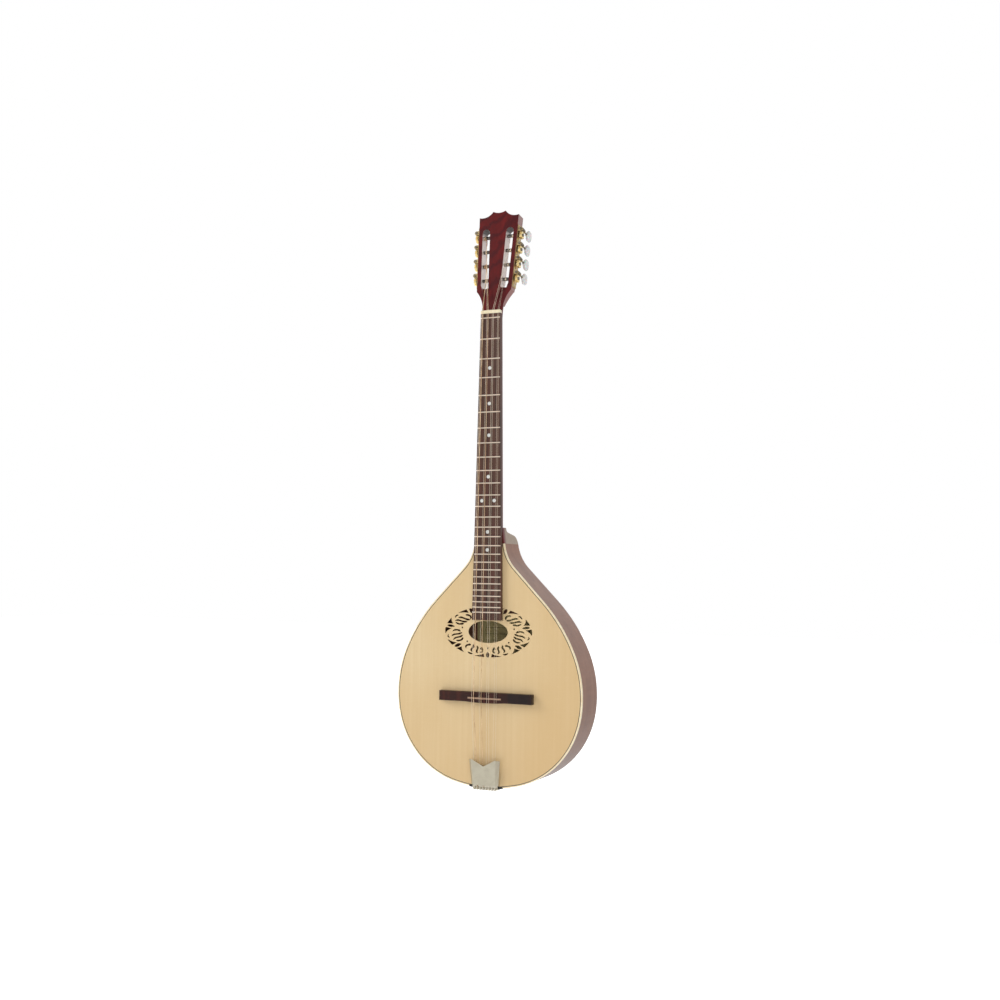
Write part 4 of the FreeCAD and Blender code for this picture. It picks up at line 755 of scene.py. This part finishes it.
def make_buttons():
    """Pearl buttons: oval paddles that swell out of a round neck."""
    steps = 36
    squareness = 2.5
    power = 2.0 / squareness
    for side in SIDES:
        for number in range(1, MACHINES + 1):
            _, _, key, depth, upwards = machine(side, number)
            place = frame_at(key, depth, upwards)
            vertices = []
            for distance, wide, thick in BUTTON_STATIONS:
                for step in range(steps):
                    angle = 2 * math.pi * step / steps
                    c, n = math.cos(angle), math.sin(angle)
                    x = math.copysign(abs(c) ** power, c) * wide * MM
                    y = math.copysign(abs(n) ** power, n) * thick * MM
                    vertices.append(place @ Vector((x, y, distance * MM)))
            faces = skin(len(BUTTON_STATIONS), steps)
            stem = "tuner_%s_%d" % (side, number)
            node = stem + "_button"
            mesh_piece(stem + "_pearl", vertices, faces, BUTTON, stem + "_key", (node,))


# ---------------------------------------------------------------- screws


# a screw head's dome above its slot's floor, as shares of its height and radius
DOME = ((0.45, 1.0), (0.6, 0.97), (0.8, 0.86), (0.93, 0.68), (1.0, 0.45))


def slotted_head(place, radius, height, slot_half, turn):
    """A domed head above a matrix's plane, with a straight slot across it."""
    parts = [lathe(((0.0, radius * 0.97), (height * 0.45, radius * 0.97)), 28, place)]
    profile = [(height * level, share) for level, share in DOME]
    steps = 12
    for half in (0.0, math.pi):
        vertices = []
        for level, share in profile:
            reach = radius * share
            edge = math.asin(min(0.95, slot_half / reach))
            for step in range(steps + 1):
                angle = edge + (math.pi - 2 * edge) * step / steps + half + turn
                vertices.append(place @ Vector((reach * math.cos(angle), reach * math.sin(angle), level)))
        ring = steps + 1
        faces = []
        for row in range(len(profile) - 1):
            for step in range(steps):
                a = row * ring + step
                faces.append((a, a + 1, a + ring + 1, a + ring))
            a = row * ring
            faces.append((a + steps, a, a + ring, a + ring + steps))
        faces.append(tuple(range(ring - 1, -1, -1)))
        top = (len(profile) - 1) * ring
        faces.append(tuple(top + step for step in range(ring)))
        parts.append((vertices, faces))
    return parts


# the plate's screws along it, from the first roller
PLATE_SCREWS = (-11.5, 16.2, 42.6, 69.0, 94.1)
# tip, end of the taper and head of the plate screws' shanks, as (distance, radius)
PLATE_SHANK = ((-6.0 * MM, 0.4 * MM), (-5.0 * MM, 1.2 * MM), (0.1 * MM, 1.2 * MM))
# the tail screws across the end block and down it, and their shanks
TAIL_SCREWS = ((-12.0, 14.0), (12.0, 14.0), (0.0, 30.0))
TAIL_SHANK = ((-20.0 * MM, 0.5 * MM), (-18.0 * MM, 1.6 * MM), (0.1 * MM, 1.6 * MM))
TAIL_CURVE_RADIUS = 242.5
TAIL_HEAD_HEIGHT = 1.6


def make_plate_screws():
    """Slotted screws that hold both machine plates."""
    parts = []
    for side in SIDES:
        gear, outwards, _, _, upwards = machine(side, 1)
        for index, along in enumerate(PLATE_SCREWS):
            seat = gear - outwards * GEAR_STAND + upwards * along * MM
            place = frame_at(seat, outwards, upwards)
            parts += slotted_head(place, 2.3 * MM, 1.1 * MM, 0.3 * MM, 0.4 + 0.9 * index)
            parts.append(lathe(PLATE_SHANK, 16, place))
    vertices, faces = merged(parts)
    replaced = ("tuner_screws",)
    mesh_piece("plate_screws", vertices, faces, NICKEL, "instrument", replaced, smooth=False)


def make_tail_screws():
    """Slotted screws that hold the tailpiece's strap to the end block."""
    low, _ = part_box("tailpiece_screws")
    parts = []
    for x, y in TAIL_SCREWS:
        curve = x * x / (2 * TAIL_CURVE_RADIUS)
        face = Vector((x * MM, y * MM, low.z + (TAIL_HEAD_HEIGHT + curve) * MM))
        place = frame_at(face, (0, 0, -1), (1, 0, 0))
        parts += slotted_head(place, 3.4 * MM, TAIL_HEAD_HEIGHT * MM, 0.4 * MM, 0.7 + x)
        parts.append(lathe(TAIL_SHANK, 16, place))
    vertices, faces = merged(parts)
    replaced = ("tailpiece_screws",)
    mesh_piece("tail_screws", vertices, faces, NICKEL, "instrument", replaced, smooth=False)


make_windings()
make_buttons()
make_plate_screws()
make_tail_screws()

# ---------------------------------------------------------------- softened edges on the CAD nodes


# only edges that turn by more than this many degrees are rounded
SOFT_ABOVE = 32.0


def soften(name, width):
    """Round a CAD node's sharp edges a little, which changes neither its mesh nor its size."""
    node = NODES[name]
    bevel = node.modifiers.new("soft_edges", "BEVEL")
    bevel.width = width
    bevel.segments = 2
    bevel.limit_method = "ANGLE"
    bevel.angle_limit = math.radians(SOFT_ABOVE)
    bevel.harden_normals = True


SMALL_EDGES = (
    "bridge",
    "nut",
    "fingerboard",
    "tuner_plate_left",
    "tuner_plate_right",
    "tailpiece_cover",
    "tailpiece_base",
)
for name in SMALL_EDGES:
    soften(name, 0.25 * MM)
soften("neck", 0.5 * MM)
soften("headstock", 0.4 * MM)
